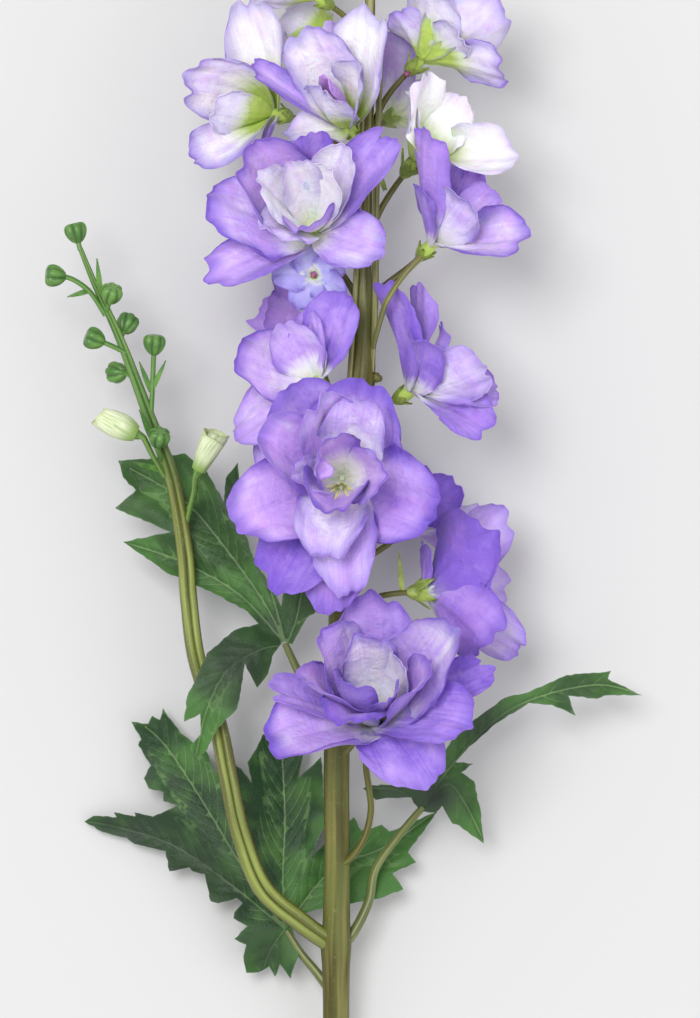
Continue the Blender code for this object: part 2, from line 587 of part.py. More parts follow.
def flower(name, spec):
    """One flower: its petals fused round a small core that sits on the calyx."""
    foot = place(spec["foot"])
    axis = Vector(spec["axis"]).normalized()
    seat = foot + axis * (SEAT_GAP * MM)
    core_length = CORE_LENGTH + PETAL_STEP * max(petal[2] for petal in spec["petals"])
    shapes = [cone(seat, axis, CORE_RADIUS, CORE_RADIUS * 0.6, core_length, 6)]
    for number, petal in enumerate(spec["petals"]):
        columns, rows = petal_cells(petal[0], petal[1])
        phase = 1.7 * number
        grid = [[petal_point(foot, axis, petal, spec["heights"], phase, 2 * column / columns - 1, row / rows)
                 for column in range(columns + 1)] for row in range(rows + 1)]
        shapes.append(sheet(grid, PETAL_THICKNESS))
    colour = PETAL_VIOLET if name in VIOLET_FLOWERS else PETAL_WHITE if name in WHITE_FLOWERS else PETAL_LILAC
    return fuse(name, shapes, colour)


def stem_spot(down):
    """The stem's centre at a plan height."""
    for upper, lower in zip(MAIN_STEM[1:], MAIN_STEM):
        if upper[1] <= down <= lower[1]:
            share = (lower[1] - down) / (lower[1] - upper[1])
            return tuple(a + (b - a) * share for a, b in zip(lower[:3], upper[:3]))
    raise ValueError(f"no stem at {down}")


def pedicel(foot_spot, axis, stem_at):
    """The thin stalk from the stem to a flower's calyx, with the calyx cup."""
    foot = place(foot_spot)
    begin = place(stem_spot(stem_at))
    end = foot - axis * ((CALYX_LENGTH - 0.4) * MM)
    span = (end - begin).length
    leave = begin + Vector((0, 1, 0)) * (0.45 * span)
    arrive = end - axis * (0.4 * span)
    points, radii = [], []
    for step in range(PEDICEL_PIECES + 1):
        t = step / PEDICEL_PIECES
        points.append(begin * (1 - t) ** 3 + leave * (3 * t * (1 - t) ** 2) + arrive * (3 * t * t * (1 - t))
                      + end * t ** 3)
        radii.append(PEDICEL_RADIUS * (1.25 - 0.25 * t))
    cup = cone(foot - axis * (CALYX_LENGTH * MM), axis, 0.7 * PEDICEL_RADIUS, CALYX_RADIUS, CALYX_LENGTH, 5)
    return [tube(points, radii, 0), cup]


def bract(spots):
    """A small pointed leaf, from its foot to its tip."""
    foot, tip = place(spots[0]), place(spots[1])
    axis = (tip - foot).normalized()
    return cone(foot, axis, BRACT_WIDTH / 2, BRACT_TIP_RADIUS, (tip - foot).length / MM, 4)


def tip_buds():
    """Green buds in a spiral round the tip of the stem, each on a short stalk."""
    shapes = []
    top, under = MAIN_STEM[-1], MAIN_STEM[-2]
    for number in range(TIP_BUDS):
        share = number / (TIP_BUDS - 1)
        down = under[1] + 6 + (top[1] - under[1] - 6) * share
        centre = place(stem_spot(max(down, top[1])))
        angle = math.radians(TIP_BUD_TURN * number + 40)
        side = Vector((math.cos(angle), 0.75, math.sin(angle))).normalized()
        reach = 8.5 - 5.0 * share
        radius = BUD_RADIUS * (0.95 - 0.35 * share)
        bud = centre + side * (reach * MM)
        shapes.append(tube([centre, bud], [BUD_STALK_RADIUS] * 2, 0))
        shapes.append(oval(bud, side, radius, 2.2 * radius, 6, 4))
    return shapes


def main_stem():
    """The stem with everything that is moulded on it."""
    shapes = [tube([place(spot[:3]) for spot in MAIN_STEM], [spot[3] for spot in MAIN_STEM], 2)]
    for name, spec in FLOWERS.items():
        shapes += pedicel(spec["foot"], Vector(spec["axis"]).normalized(), spec["stem_at"])
    for name, (foot, axis, heights, stem_at, count, length, width, seed) in YOUNG_FLOWERS.items():
        shapes += pedicel(foot, Vector(axis).normalized(), stem_at)
    shapes += [bract(spots) for spots in STEM_BRACTS]
    shapes += tip_buds()
    return fuse("main_stem", shapes, STEM_OLIVE)


def stem_cutter():
    """The stem grown by the gap that its neighbours keep from it."""
    mesh = tube([place(spot[:3]) for spot in MAIN_STEM], [spot[3] + STEM_CUT for spot in MAIN_STEM], 2)
    cutter = new_object("stem_cutter", mesh)
    cutter.hide_render = True
    cutter.display_type = "WIRE"
    return cutter


def cut_by(body, cutter):
    """Cut a piece by the grown stem, so that it ends just off the stem's surface."""
    cut = body.modifiers.new("cut", "BOOLEAN")
    cut.operation = "DIFFERENCE"
    cut.object = cutter
    cut.solver = "EXACT"
    mesh = evaluated_mesh(body)
    body.modifiers.remove(cut)
    body.data = mesh
    tidy(mesh)


def bud_branch(cutter):
    """The side branch with its green buds, stalks and bracts."""
    run = smooth_run(BUD_BRANCH, 2)
    shapes = [tube([place(spot[:3]) for spot in run], [spot[3] for spot in run], 1)]
    for bud, *stalk in BRANCH_BUDS:
        centre = place(bud)
        points = [centre] + [place(spot) for spot in stalk]
        axis = (points[0] - points[1]).normalized()
        shapes.append(tube(points, [BUD_STALK_RADIUS] * len(points), 0))
        shapes.append(oval(centre, axis, BUD_RADIUS, 1.9 * BUD_RADIUS, 6, 5))
    for foot, tip, *stalk in PALE_BUDS.values():
        axis = (place(tip) - place(foot)).normalized()
        end = place(foot) - axis * (SEAT_GAP * MM)
        points = [end, end - axis * (2.5 * MM)] + [place(spot) for spot in stalk]
        shapes.append(tube(points, [1.5, 0.9] + [0.9] * len(stalk), 0))
    shapes += [bract(spots) for spots in BRANCH_BRACTS]
    body = fuse("bud_branch", shapes, BUD_GREEN)
    cut_by(body, cutter)
    return body


def pale_bud(name, spots):
    """A half-open bud: an egg with three petals wrapped on it."""
    foot, tip = place(spots[0]), place(spots[1])
    axis = (tip - foot).normalized()
    centre = foot + axis * (PALE_BUD_LENGTH * 0.5 * MM)
    side = axis.orthogonal().normalized()
    shapes = [oval(centre, axis, PALE_BUD_RADIUS, PALE_BUD_LENGTH, 7, 6)]
    for number in range(2):
        outward = Quaternion(axis, math.pi * number) @ side
        spot = centre + outward * (PALE_BUD_RADIUS * 0.28 * MM) + axis * (0.8 * MM)
        shapes.append(oval(spot, axis + outward * 0.12, PALE_BUD_RADIUS * 0.86, PALE_BUD_LENGTH * 0.86, 6, 5))
    return fuse(name, shapes, BUD_CREAM)


def rib_height(ribs, fold, x, y):
    """Height of a leaf's blade at a plan place: that of its ribs, raised a little between them."""
    total = weight_sum = 0.0
    for rib in ribs:
        best = None
        for a, b in zip(rib, rib[1:]):
            dx, dy = b[0] - a[0], b[1] - a[1]
            share = max(0.0, min(1.0, ((x - a[0]) * dx + (y - a[1]) * dy) / (dx * dx + dy * dy)))
            distance = math.hypot(x - a[0] - dx * share, y - a[1] - dy * share)
            height = a[2] + (b[2] - a[2]) * share
            if best is None or distance < best[0]:
                best = (distance, height)
        distance, height = best
        weight = 1 / (distance * distance + RIB_BLEND)
        total += weight * (height + fold * min(distance, RIB_REACH) * MM_PER_PX)
        weight_sum += weight
    return total / weight_sum


def leaf_blade(spec):
    """The blade: its toothed outline filled with triangles that follow the ribs, alike on both faces."""
    outline = spec["outline"]
    inside = []
    for rib in spec["ribs"]:
        inside += [spot[:2] for spot in rib[1:-1]]
    spots = [Vector(spot) for spot in outline + inside]
    ring = [(number, (number + 1) % len(outline)) for number in range(len(outline))]
    flat, _, faces, _, _, _ = delaunay_2d_cdt(spots, ring, [], 1, 1e-4)
    shape = bmesh.new()
    half = LEAF_THICKNESS / 2
    top, bottom = [], []
    for spot in flat:
        height = max(rib_height(spec["ribs"], spec["fold"], spot.x, spot.y), LEAF_CLEARANCE + half)
        top.append(shape.verts.new(place((spot.x, spot.y, height + half))))
        bottom.append(shape.verts.new(place((spot.x, spot.y, height - half))))
    edges = {}
    for face in faces:
        shape.faces.new([top[index] for index in face])
        shape.faces.new([bottom[index] for index in reversed(face)])
        for a, b in zip(face, face[1:] + face[:1]):
            key = (min(a, b), max(a, b))
            edges[key] = edges.get(key, 0) + 1
    for (a, b), uses in edges.items():
        if uses == 1:
            shape.faces.new((top[a], top[b], bottom[b]))
            shape.faces.new((top[a], bottom[b], bottom[a]))
    bmesh.ops.recalc_face_normals(shape, faces=shape.faces)
    mesh = bpy.data.meshes.new("blade")
    shape.to_mesh(mesh)
    shape.free()
    return mesh


def leaf(name, spec, cutter):
    """A leaf: its blade fused with its petiole, which ends just off the stem."""
    run = smooth_run(spec["petiole"], 2)
    radii = [PETIOLE_RADIUS + PETIOLE_SWELL * number / (len(run) - 1) for number in range(len(run))]
    petiole = tube([place(spot) for spot in run], radii, 1)
    body = fuse(name, [leaf_blade(spec), petiole], LEAF_GREEN)
    cut_by(body, cutter)
    return body


def clear_scene():
    """Remove everything that a new file holds."""
    for item in list(bpy.data.objects):
        bpy.data.objects.remove(item)


def shade(body):
    """Shade a piece smooth, with its sharp edges kept."""
    body.data.shade_smooth()
    body.data.set_sharp_from_angle(angle=math.radians(40))


clear_scene()
stem = main_stem()
grown_stem = stem_cutter()
pieces = [stem, bud_branch(grown_stem)]
for bud_name, bud_spots in PALE_BUDS.items():
    pieces.append(pale_bud(bud_name, bud_spots))
for leaf_name, leaf_spec in LEAVES.items():
    pieces.append(leaf(leaf_name, leaf_spec, grown_stem))
for flower_name, flower_spec in FLOWERS.items():
    pieces.append(flower(flower_name, flower_spec))
for flower_name, young in YOUNG_FLOWERS.items():
    young_foot, young_axis, limits, young_stem_at, petal_count, petal_length, petal_width, petal_seed = young
    ring = ring_of_petals(young_foot, Vector(young_axis).normalized(), petal_count, petal_length, petal_width,
                          petal_seed)
    young_spec = {"foot": young_foot, "axis": young_axis, "heights": limits, "petals": ring}
    pieces.append(flower(flower_name, young_spec))
bpy.data.objects.remove(grown_stem)
for piece in pieces:
    shade(piece)
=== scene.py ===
"""Looks of a cut delphinium spray with cloth petals and leaves on moulded stems, lying on a pale table."""

import math
import random
from collections import namedtuple

import bmesh
import bpy
import numpy as np
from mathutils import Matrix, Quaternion, Vector
from mathutils.geometry import delaunay_2d_cdt


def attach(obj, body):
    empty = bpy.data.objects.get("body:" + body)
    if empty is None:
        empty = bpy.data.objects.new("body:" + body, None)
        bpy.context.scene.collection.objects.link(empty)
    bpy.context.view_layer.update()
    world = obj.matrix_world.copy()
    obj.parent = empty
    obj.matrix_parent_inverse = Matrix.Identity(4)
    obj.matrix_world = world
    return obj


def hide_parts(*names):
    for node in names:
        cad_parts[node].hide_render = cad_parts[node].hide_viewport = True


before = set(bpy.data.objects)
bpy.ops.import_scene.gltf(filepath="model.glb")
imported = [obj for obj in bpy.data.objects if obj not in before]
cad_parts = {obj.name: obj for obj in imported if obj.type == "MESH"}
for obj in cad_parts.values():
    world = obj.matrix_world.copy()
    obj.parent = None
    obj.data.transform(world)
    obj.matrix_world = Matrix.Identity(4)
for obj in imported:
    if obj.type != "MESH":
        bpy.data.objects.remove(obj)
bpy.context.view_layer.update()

# The table: a plain pale board under soft, even studio light. The camera looks straight down on the spray,
# as the photograph looks straight at it. Plan places are (across, down, height): across and down in picture
# pixels of MM_PER_PX each, height in millimetres over the table.
MM = 0.001
MM_PER_PX = 0.33
ORIGIN_PX = (345.0, 561.0)
PICTURE_MIDDLE_PX = (350.0, 509.0)
PICTURE_HEIGHT_PX = 1018
MIDDLE_HEIGHT = 45.0            # height of the spray that the picture's scale holds for
CAMERA_DISTANCE = 2.5
CAMERA_REACH = 20.0
SENSOR = 36.0
TABLE_SIZE = 6.0
TABLE_DROP = 0.0004             # keeps the board clear of the lowest petals
LAMPS = {"key_lamp": ((-0.45, 0.45, 2.1), 0.8, 28.0), "fill_lamp": ((1.2, -0.6, 1.6), 1.6, 8.0)}
SKY_STRENGTH = 0.80


def place(spot):
    """A plan spot in metres in the spray's own frame."""
    across, down, height = spot
    aside = (across - ORIGIN_PX[0]) * MM_PER_PX
    along = (ORIGIN_PX[1] - down) * MM_PER_PX
    return np.array(Vector((aside, along, height)) * MM)


class Finish:
    """A material whose shader sums are written as plain expressions."""

    def __init__(self, name, roughness, **constants):
        self.material = bpy.data.materials.new(name)
        self.material.use_nodes = True
        self.tree = self.material.node_tree
        self.shader = self.tree.nodes["Principled BSDF"]
        self.shader.inputs["Roughness"].default_value = roughness
        for key, value in constants.items():
            self.shader.inputs[key.replace("_", " ")].default_value = value

    def node(self, kind, settings, inputs, output=0):
        """A node of a kind, with its settings, then the values or links of its sockets."""
        made = self.tree.nodes.new(kind)
        for key, value in settings.items():
            setattr(made, key, value)
        for key, value in inputs.items():
            if isinstance(value, Wire):
                self.tree.links.new(value.socket, made.inputs[key])
            else:
                made.inputs[key].default_value = value
        return Wire(self, made.outputs[output])

    def math(self, operation, *values):
        """A Math node on numbers or wires."""
        return self.node("ShaderNodeMath", {"operation": operation}, dict(enumerate(values)))

    def value(self, name):
        """A named value that the piece's mesh holds at its points."""
        return self.node("ShaderNodeAttribute", {"attribute_name": name}, {}, 2)

    def uv(self):
        """The piece's UV map as two wires."""
        u = self.node("ShaderNodeSeparateXYZ", {}, {0: self.node("ShaderNodeTexCoord", {}, {}, 2)})
        return u, Wire(self, u.socket.node.outputs[1])

    def noise(self, spot, scale, detail=3.0, rough=0.55):
        """Smooth noise from 0 to 1."""
        return self.node("ShaderNodeTexNoise", {"noise_dimensions": "3D"},
                         {"Vector": spot, "Scale": scale, "Detail": detail, "Roughness": rough})

    def grain(self, scale, detail=3.0, rough=0.55):
        """Noise over the piece's own space, its scale in spots a metre."""
        return self.noise(self.node("ShaderNodeTexCoord", {}, {}, 3), scale, detail, rough)

    def streaks(self, across, along, shift=0.0, detail=3.0):
        """Noise over the piece's UV map, stretched by two scales and shifted."""
        u, v = self.uv()
        spot = self.node("ShaderNodeCombineXYZ", {}, {0: u * across, 1: v * along, 2: shift})
        return self.noise(spot, 1.0, detail)

    def mix(self, share, first, second):
        """A blend of two colours."""
        first, second = [(*tint, 1.0) if isinstance(tint, tuple) else tint for tint in (first, second)]
        return self.node("ShaderNodeMix", {"data_type": "RGBA", "clamp_factor": True},
                         {0: share, 6: first, 7: second}, 2)

    def bump(self, height, strength, distance):
        """Fine relief from a wire."""
        relief = self.node("ShaderNodeBump", {},
                           {"Strength": strength, "Distance": distance, "Height": height})
        self.tree.links.new(relief.socket, self.shader.inputs["Normal"])

    def paint(self, colour, roughness=None):
        """Give the shader its colour, and its roughness where that varies."""
        self.tree.links.new(colour.socket, self.shader.inputs["Base Color"])
        if roughness is not None:
            self.tree.links.new(roughness.socket, self.shader.inputs["Roughness"])
        return self.material


class Wire:
    """A socket of a finish's shader that sums are written with."""

    def __init__(self, finish, socket):
        self.finish = finish
        self.socket = socket

    def __add__(self, other):
        return self.finish.math("ADD", self, other)

    def __sub__(self, other):
        return self.finish.math("SUBTRACT", self, other)

    def __rsub__(self, other):
        return self.finish.math("SUBTRACT", other, self)

    def __mul__(self, other):
        return self.finish.math("MULTIPLY", self, other)

    def __abs__(self):
        return self.finish.math("ABSOLUTE", self)

    def step(self, low, high):
        """0 below low, 1 above high, and smooth between."""
        return self.finish.node("ShaderNodeMapRange", {"interpolation_type": "SMOOTHSTEP"},
                                {0: self, 1: low, 2: high, 3: 0.0, 4: 1.0})


bpy.ops.object.select_all(action="DESELECT")
bpy.ops.mesh.primitive_plane_add(size=TABLE_SIZE, location=(0, 0, -TABLE_DROP))
table = bpy.context.object
table.name = "table_top"
board = Finish("pale_board", 0.9, Specular_IOR_Level=0.1)
grain = board.grain(3.0)
table.data.materials.append(board.paint(board.mix(grain, (0.60, 0.60, 0.60), (0.62, 0.62, 0.62))))

aim = Vector(place((*PICTURE_MIDDLE_PX, MIDDLE_HEIGHT)))
camera_data = bpy.data.cameras.new("camera")
camera_data.sensor_width = SENSOR
camera_data.lens = SENSOR * CAMERA_DISTANCE / (PICTURE_HEIGHT_PX * MM_PER_PX * MM)
camera_data.clip_end = CAMERA_REACH
camera = bpy.data.objects.new("camera", camera_data)
camera.location = aim + Vector((0, 0, CAMERA_DISTANCE))
bpy.context.scene.collection.objects.link(camera)
bpy.context.scene.camera = camera

for lamp_name, (lamp_spot, lamp_size, lamp_power) in LAMPS.items():
    lamp_data = bpy.data.lights.new(lamp_name, "AREA")
    lamp_data.size = lamp_size
    lamp_data.energy = lamp_power
    lamp = bpy.data.objects.new(lamp_name, lamp_data)
    lamp.location = lamp_spot
    lamp.rotation_euler = (aim - lamp.location).to_track_quat("-Z", "Y").to_euler()
    bpy.context.scene.collection.objects.link(lamp)
bpy.context.scene.view_settings.view_transform = "Standard"
sky = bpy.data.worlds.new("studio")
bpy.context.scene.world = sky
sky.use_nodes = True
sky_light = sky.node_tree.nodes["Background"].inputs
sky_light["Color"].default_value = (1.0, 1.0, 1.0, 1.0)
sky_light["Strength"].default_value = SKY_STRENGTH

# The main stem: a moulded, semi-gloss olive stem, fluted along its length, from the cut end to the budded
# tip. Higher up it is a bundle: thinner strands, which are the flowers' own stalks, run along it.
MAIN_STEM = [
    (336, 1380, 4.48, 4.5), (336, 1180, 10, 4.5), (336, 1018, 17, 4.5), (336, 950, 20, 4.8),
    (337, 860, 25, 4.4), (337, 740, 31, 4.4), (345, 560, 40, 4.3), (361, 380, 47, 4.3), (365, 300, 49, 3.2),
    (368, 200, 50, 2.6), (371, 60, 49, 2.3), (373, -60, 46, 1.9), (374, -160, 43, 1.6), (372, -246, 40, 1.3),
]
STRANDS = [
    [(348, 400, 50, 0.9), (353, 330, 52, 1.0), (358, 240, 52, 1.0), (362, 120, 52, 0.9), (366, 20, 50, 0.8)],
    [(372, 372, 49, 0.8), (375, 300, 52, 1.2), (376, 200, 52, 1.2), (379, 100, 50, 1.0), (384, 20, 47, 0.7)],
    [(372, 352, 49, 0.8), (381, 318, 62, 0.95), (388, 300, 69, 0.95), (404, 276, 62, 1.0),
     (422, 256, 50, 1.3)],
]
STEM_SIDES = 40
STEM_FLUTES = (0.04, 6)         # how far they stand out, as a share of the radius, and how many they are
STEM_TWIST = 1.5                # how the flutes wind round it, in radians a metre
STEM_NODES = ((950, 0.10, 14), (378, 0.09, 12), (610, 0.04, 12), (1120, 0.05, 14))  # down, swell, reach
BUNDLE_FROM_PX, BUNDLE_FADE_PX = 340, 80    # where the stem turns into a bundle of strands
BUNDLE_SHIFT_PX, BUNDLE_THINNER = 2.0, 0.22
UP = np.array((0.0, 0.0, 1.0))


def cut_piece(name, points, faces, values, material, sharp, uvs=()):
    """An object of the scene: its faces point out, and its edges are crisp over an angle in degrees."""
    mesh = bpy.data.meshes.new(name)
    mesh.from_pydata(points.tolist(), [], faces)
    if uvs:
        mesh.uv_layers.new(name="UVMap").data.foreach_set("uv", np.array(uvs, np.float32).ravel())
    for key, field in values.items():
        mesh.attributes.new(key, "FLOAT", "POINT").data.foreach_set("value", field)
    shape = bmesh.new()
    shape.from_mesh(mesh)
    bmesh.ops.recalc_face_normals(shape, faces=shape.faces)
    shape.to_mesh(mesh)
    shape.free()
    mesh.materials.append(material)
    mesh.shade_smooth()
    mesh.set_sharp_from_angle(angle=math.radians(sharp))
    piece = bpy.data.objects.new(name, mesh)
    bpy.context.scene.collection.objects.link(piece)
    return piece


class Cast:
    """Grids of points gathered into one piece, with a UV map and named values at its points."""

    def __init__(self):
        self.points = []
        self.faces = []
        self.uvs = []
        self.values = {}
        self.count = 0

    def add(self, grid, v, u=None, **values):
        """Add rows of closed rings; v goes along them, u round them. A u of its own is for a thin sheet."""
        rows, columns = grid.shape[:2]
        thin, u = u is not None, around(columns) if u is None else u
        for row in range(rows - 1):
            low, high = self.count + row * columns, self.count + (row + 1) * columns
            for column in range(columns):
                after = (column + 1) % columns
                self.faces.append((low + column, low + after, high + after, high + column))
                self.uvs += [(u[column], v[row]), (u[column + 1], v[row]), (u[column + 1], v[row + 1]),
                             (u[column], v[row + 1])]
        self.points.append(grid.reshape(-1, 3))
        for key in sorted({*values, *self.values}):
            self.values.setdefault(key, [np.zeros(self.count)])
            field = np.broadcast_to(np.asarray(values.get(key, 0.0), float), (rows, columns))
            self.values[key].append(field.ravel())
        for row in (0, rows - 1):
            loop = [self.count + row * columns + column for column in range(columns)]
            cells = [loop]
            if thin:
                cells = [(loop[i], loop[i + 1], loop[columns - 2 - i], loop[columns - 1 - i])
                         for i in range(columns // 2 - 1)]
            for cell in cells:
                self.faces.append(tuple(cell) if row else tuple(reversed(cell)))
                self.uvs += [(u[0], v[row])] * len(cell)
        self.count += rows * columns

    def made(self, name, material, sharp=45):
        """The piece as an object of the scene."""
        values = {key: np.concatenate(fields) for key, fields in self.values.items()}
        return cut_piece(name, np.concatenate(self.points), self.faces, values, material, sharp, self.uvs)


def smooth_run(points, pieces):
    """Points on a smooth curve through the given points, as rows of numbers."""
    spots = np.array(points, float)
    padded = np.vstack([spots[:1], spots, spots[-1:]])
    t = np.linspace(0, 1, pieces, endpoint=False)[:, None]
    run = []
    for p, q, r, s in zip(padded, padded[1:], padded[2:], padded[3:]):
        bend = 2 * p - 5 * q + 4 * r - s
        twist = 3 * q - p - 3 * r + s
        run.append(0.5 * (2 * q + (r - p) * t + bend * t ** 2 + twist * t ** 3))
    run.append(spots[-1:])
    return np.vstack(run)


def unit(vectors):
    """Vectors of length one."""
    return vectors / np.maximum(np.linalg.norm(vectors, axis=-1, keepdims=True), 1e-12)


def in_metres(run):
    """Rows of (across, down, height, radius) as points in metres and radii in metres."""
    points = np.array([place(spot[:3]) for spot in run])
    return points, np.array([spot[3] for spot in run]) * MM


def run_of(spots, pieces):
    """Points in metres on a smooth curve through plan spots."""
    return np.array([place(spot) for spot in smooth_run(spots, pieces)])


def lengths(line):
    """How far along a line each of its points is."""
    return np.concatenate([[0], np.cumsum(np.linalg.norm(np.diff(line, axis=0), axis=1))])


def beside(way):
    """A way square to another."""
    return np.array(Vector(way).orthogonal().normalized())


def sweep(points, radii, outline, turns=0.0, first_side=None):
    """A grid of points: an outline of (x, y) shares of the radius, carried along a run of points."""
    ways = unit(np.gradient(points, axis=0))
    side = beside(ways[0]) if first_side is None else unit(first_side)
    rings = []
    reach = lengths(points)
    for point, way, radius, gone in zip(points, ways, radii, reach):
        side = unit(side - way * side.dot(way))
        over = np.cross(way, side)
        angle = turns * gone
        first = side * math.cos(angle) + over * math.sin(angle)
        second = np.cross(way, first)
        rings.append(point + radius * (outline[:, :1] * first + outline[:, 1:] * second))
    return np.array(rings), reach


def ring(sides, swell, lobes):
    """A round outline, with lobes that stand out by a share of its radius."""
    angles = np.linspace(0, 2 * math.pi, sides, endpoint=False)
    radius = 1 + swell * np.cos(lobes * angles)
    return np.stack([np.cos(angles) * radius, np.sin(angles) * radius], 1)


def around(sides):
    """Shares from 0 to 1, such as the u values of a closed outline."""
    return np.linspace(0, 1, sides + 1)


def stalk(cast, points, radii, sides=10, swell=0.0, lobes=3, **values):
    """Add a thin round stalk along a run of points."""
    grid, reach = sweep(points, radii, ring(sides, swell, lobes))
    cast.add(grid, reach, **values)


def moulded_olive():
    """Semi-gloss olive plastic with yellowish streaks along the stem, painted shade on its flanks, and
    lighter streaks up the bundle that are partly painted highlights.
    """
    olive = Finish("moulded_olive", 0.38, Specular_IOR_Level=0.3, Coat_Weight=0.05, Coat_Roughness=0.3)
    streak = olive.streaks(9.0, 14.0, detail=4.0)
    blotch = olive.grain(60.0)
    speck = olive.grain(700.0, 2.0)
    base = olive.mix(streak.step(0.38, 0.66), (0.066, 0.061, 0.011), (0.185, 0.175, 0.048))
    # Painted shade: the flanks, which face sideways rather than up, are darkened towards a deep olive.
    shaded_sides = olive.mix(olive.value("side").step(0.20, 0.85) * 0.80, base, (0.045, 0.045, 0.010))
    greener = olive.mix(blotch.step(0.4, 0.7) * 0.45, shaded_sides, (0.12, 0.15, 0.03))
    # Up the bundle the streaks turn a lighter olive: partly its own colour, partly painted highlights of its
    # glossy strands.
    paler = olive.mix(olive.value("upper") * streak.step(0.3, 0.65) * 0.6, greener, (0.36, 0.36, 0.15))
    worn = olive.mix(speck.step(0.62, 0.75) * 0.15, paler, (0.42, 0.40, 0.20))
    olive.bump(streak * 0.7 + speck * 0.3, 0.25, 0.0006)
    return olive.paint(worn, streak * 0.25 + 0.28)


stem = Cast()
stem_run = smooth_run(MAIN_STEM, 8)
stem_points, stem_radii = in_metres(stem_run)
bundled = np.clip((BUNDLE_FROM_PX - stem_run[:, 1]) / BUNDLE_FADE_PX, 0, 1)
stem_points[:, 0] -= bundled * BUNDLE_SHIFT_PX * MM_PER_PX * MM
stem_radii = stem_radii * (1 - BUNDLE_THINNER * bundled)
for node_down, node_swell, node_reach in STEM_NODES:
    stem_radii = stem_radii * (1 + node_swell * np.exp(-((stem_run[:, 1] - node_down) / node_reach) ** 2))
stem_grid, stem_reach = sweep(stem_points, stem_radii, ring(STEM_SIDES, *STEM_FLUTES), STEM_TWIST)
# How far each point faces sideways rather than up, which the finish darkens as painted shade.
stem_flank_shade = 1 - np.abs(unit(stem_grid - stem_points[:, None])[..., 2])
stem.add(stem_grid, stem_reach, side=stem_flank_shade, upper=bundled[:, None])
for strand in STRANDS:
    strand_points, strand_radii = in_metres(smooth_run(strand, 8))
    stalk(stem, strand_points, strand_radii, 12, 0.06, 4, upper=0.9)

# The flowers' stalks and green cups, moulded on the stem. Each stalk leaves the stem upward and bends out to
# the flower it carries. Seats: foot of the flower, its axis, how far down the plan its stalk leaves the stem.
SEATS = {
    "bloom_front": ((342, 480, 58), (0.0, 0.1, 1.0), 570),
    "bloom_low": ((374, 733, 45), (0.0, 0.6, 0.8), 862),
    "bloom_left_upper": ((316, 238, 60), (-0.1, 0.35, 0.9), 330),
    "bloom_left_mid": ((322, 384, 54), (-0.5, 0.35, 0.7), 440),
    "bloom_right_mid": ((401, 397, 50), (0.75, 0.4, 0.3), 470),
    "bloom_right_low": ((416, 592, 42), (0.85, 0.05, -0.3), 640),
    "bloom_right_upper": ((424, 253, 50), (0.6, 0.6, 0.4), 330),
    "bloom_upper_mid": ((352, 135, 58), (-0.35, 0.5, 0.75), 230),
    "bloom_upper_left": ((284, 116, 47), (-0.8, 0.15, 0.35), 250),
    "bloom_upper_right": ((408, 170, 50), (0.5, 0.65, 0.2), 290),
    "bloom_top_right": ((413, 68, 47), (0.55, 0.55, 0.0), 190),
    "bloom_top_left": ((325, 3, 50), (-0.7, 0.45, 0.2), 120),
    "floret_small": ((314, 277, 53), (0.0, 0.05, 1.0), 345),
    "bloom_back_left": ((322, 314, 35), (-0.45, 0.1, -0.6), 380),
    "bloom_back_right": ((402, 532, 29), (0.5, 0.5, -0.5), 600),
    "bloom_back_upper_left": ((334, 42, 36), (-0.7, 0.3, -0.3), 150),
    "bloom_back_upper_right": ((388, 118, 35), (0.35, 0.25, -0.6), 215),
    "bloom_crown_front": ((372, -62, 54), (0.0, 0.45, 0.9), 40),
    "bloom_crown_left": ((340, -118, 44), (-0.7, 0.5, 0.15), -30),
    "bloom_crown_right": ((406, -124, 42), (0.7, 0.5, 0.1), -50),
}
CALYX_LENGTH = 3.6
CALYX_STEPS = np.array([[-3.6, 0.75], [-3.2, 1.15], [-2.5, 1.7], [-1.5, 2.25], [-0.5, 2.6], [0.1, 2.45]])
STALK_RADIUS = 0.95
LOW_STALK = [(339, 868, 26), (352, 859, 29), (365, 838, 33), (371, 812, 35), (369, 788, 37), (366, 766, 38),
             (368, 746, 40), (372, 738, 42.3)]
STUB = [(343, 750, 32, 2.6), (352, 741, 34, 2.2), (364, 734, 37, 1.7), (372, 730, 40, 1.5)]
STEM_KNOBS = [((377, 378, 48), 1.9), ((371, 744, 41), 0.9)]
STEM_BRACTS = [[(385, 190, 47), (374, 160, 52)], [(402, 592, 43.6), (399, 552, 46)]]
LONG_SEPALS = {"bloom_right_low": 10.0, "bloom_upper_right": 9.0, "bloom_top_right": 7.0}
SEPAL_LENGTH = 4.6
SEPAL_WIDTH = 2.5
SEPAL_RISE = 0.55               # 0 for one that stands square to its axis, 1 for one along it
SEPAL_THICKNESS = 0.5
SEPAL_ARCH, SEPAL_HOLLOW = 0.8, 0.35
SEPALS = 5


def stem_spot(down):
    """The stem's centre at a plan height."""
    for upper, lower in zip(MAIN_STEM[1:], MAIN_STEM):
        if upper[1] <= down <= lower[1]:
            share = (lower[1] - down) / (lower[1] - upper[1])
            return tuple(a + (b - a) * share for a, b in zip(lower[:3], upper[:3]))
    raise ValueError(f"no stem at {down}")


def stalk_run(foot, axis, stem_down):
    """Points from the stem to a flower's calyx, in metres."""
    begin = place(stem_spot(stem_down))
    end = foot - axis * ((CALYX_LENGTH - 0.4) * MM)
    span = np.linalg.norm(end - begin)
    leave = begin + np.array((0, 0.45 * span, 0))
    arrive = end - axis * (0.4 * span)
    t = np.linspace(0, 1, 15)[:, None]
    return begin * (1 - t) ** 3 + leave * 3 * t * (1 - t) ** 2 + arrive * 3 * t * t * (1 - t) + end * t ** 3


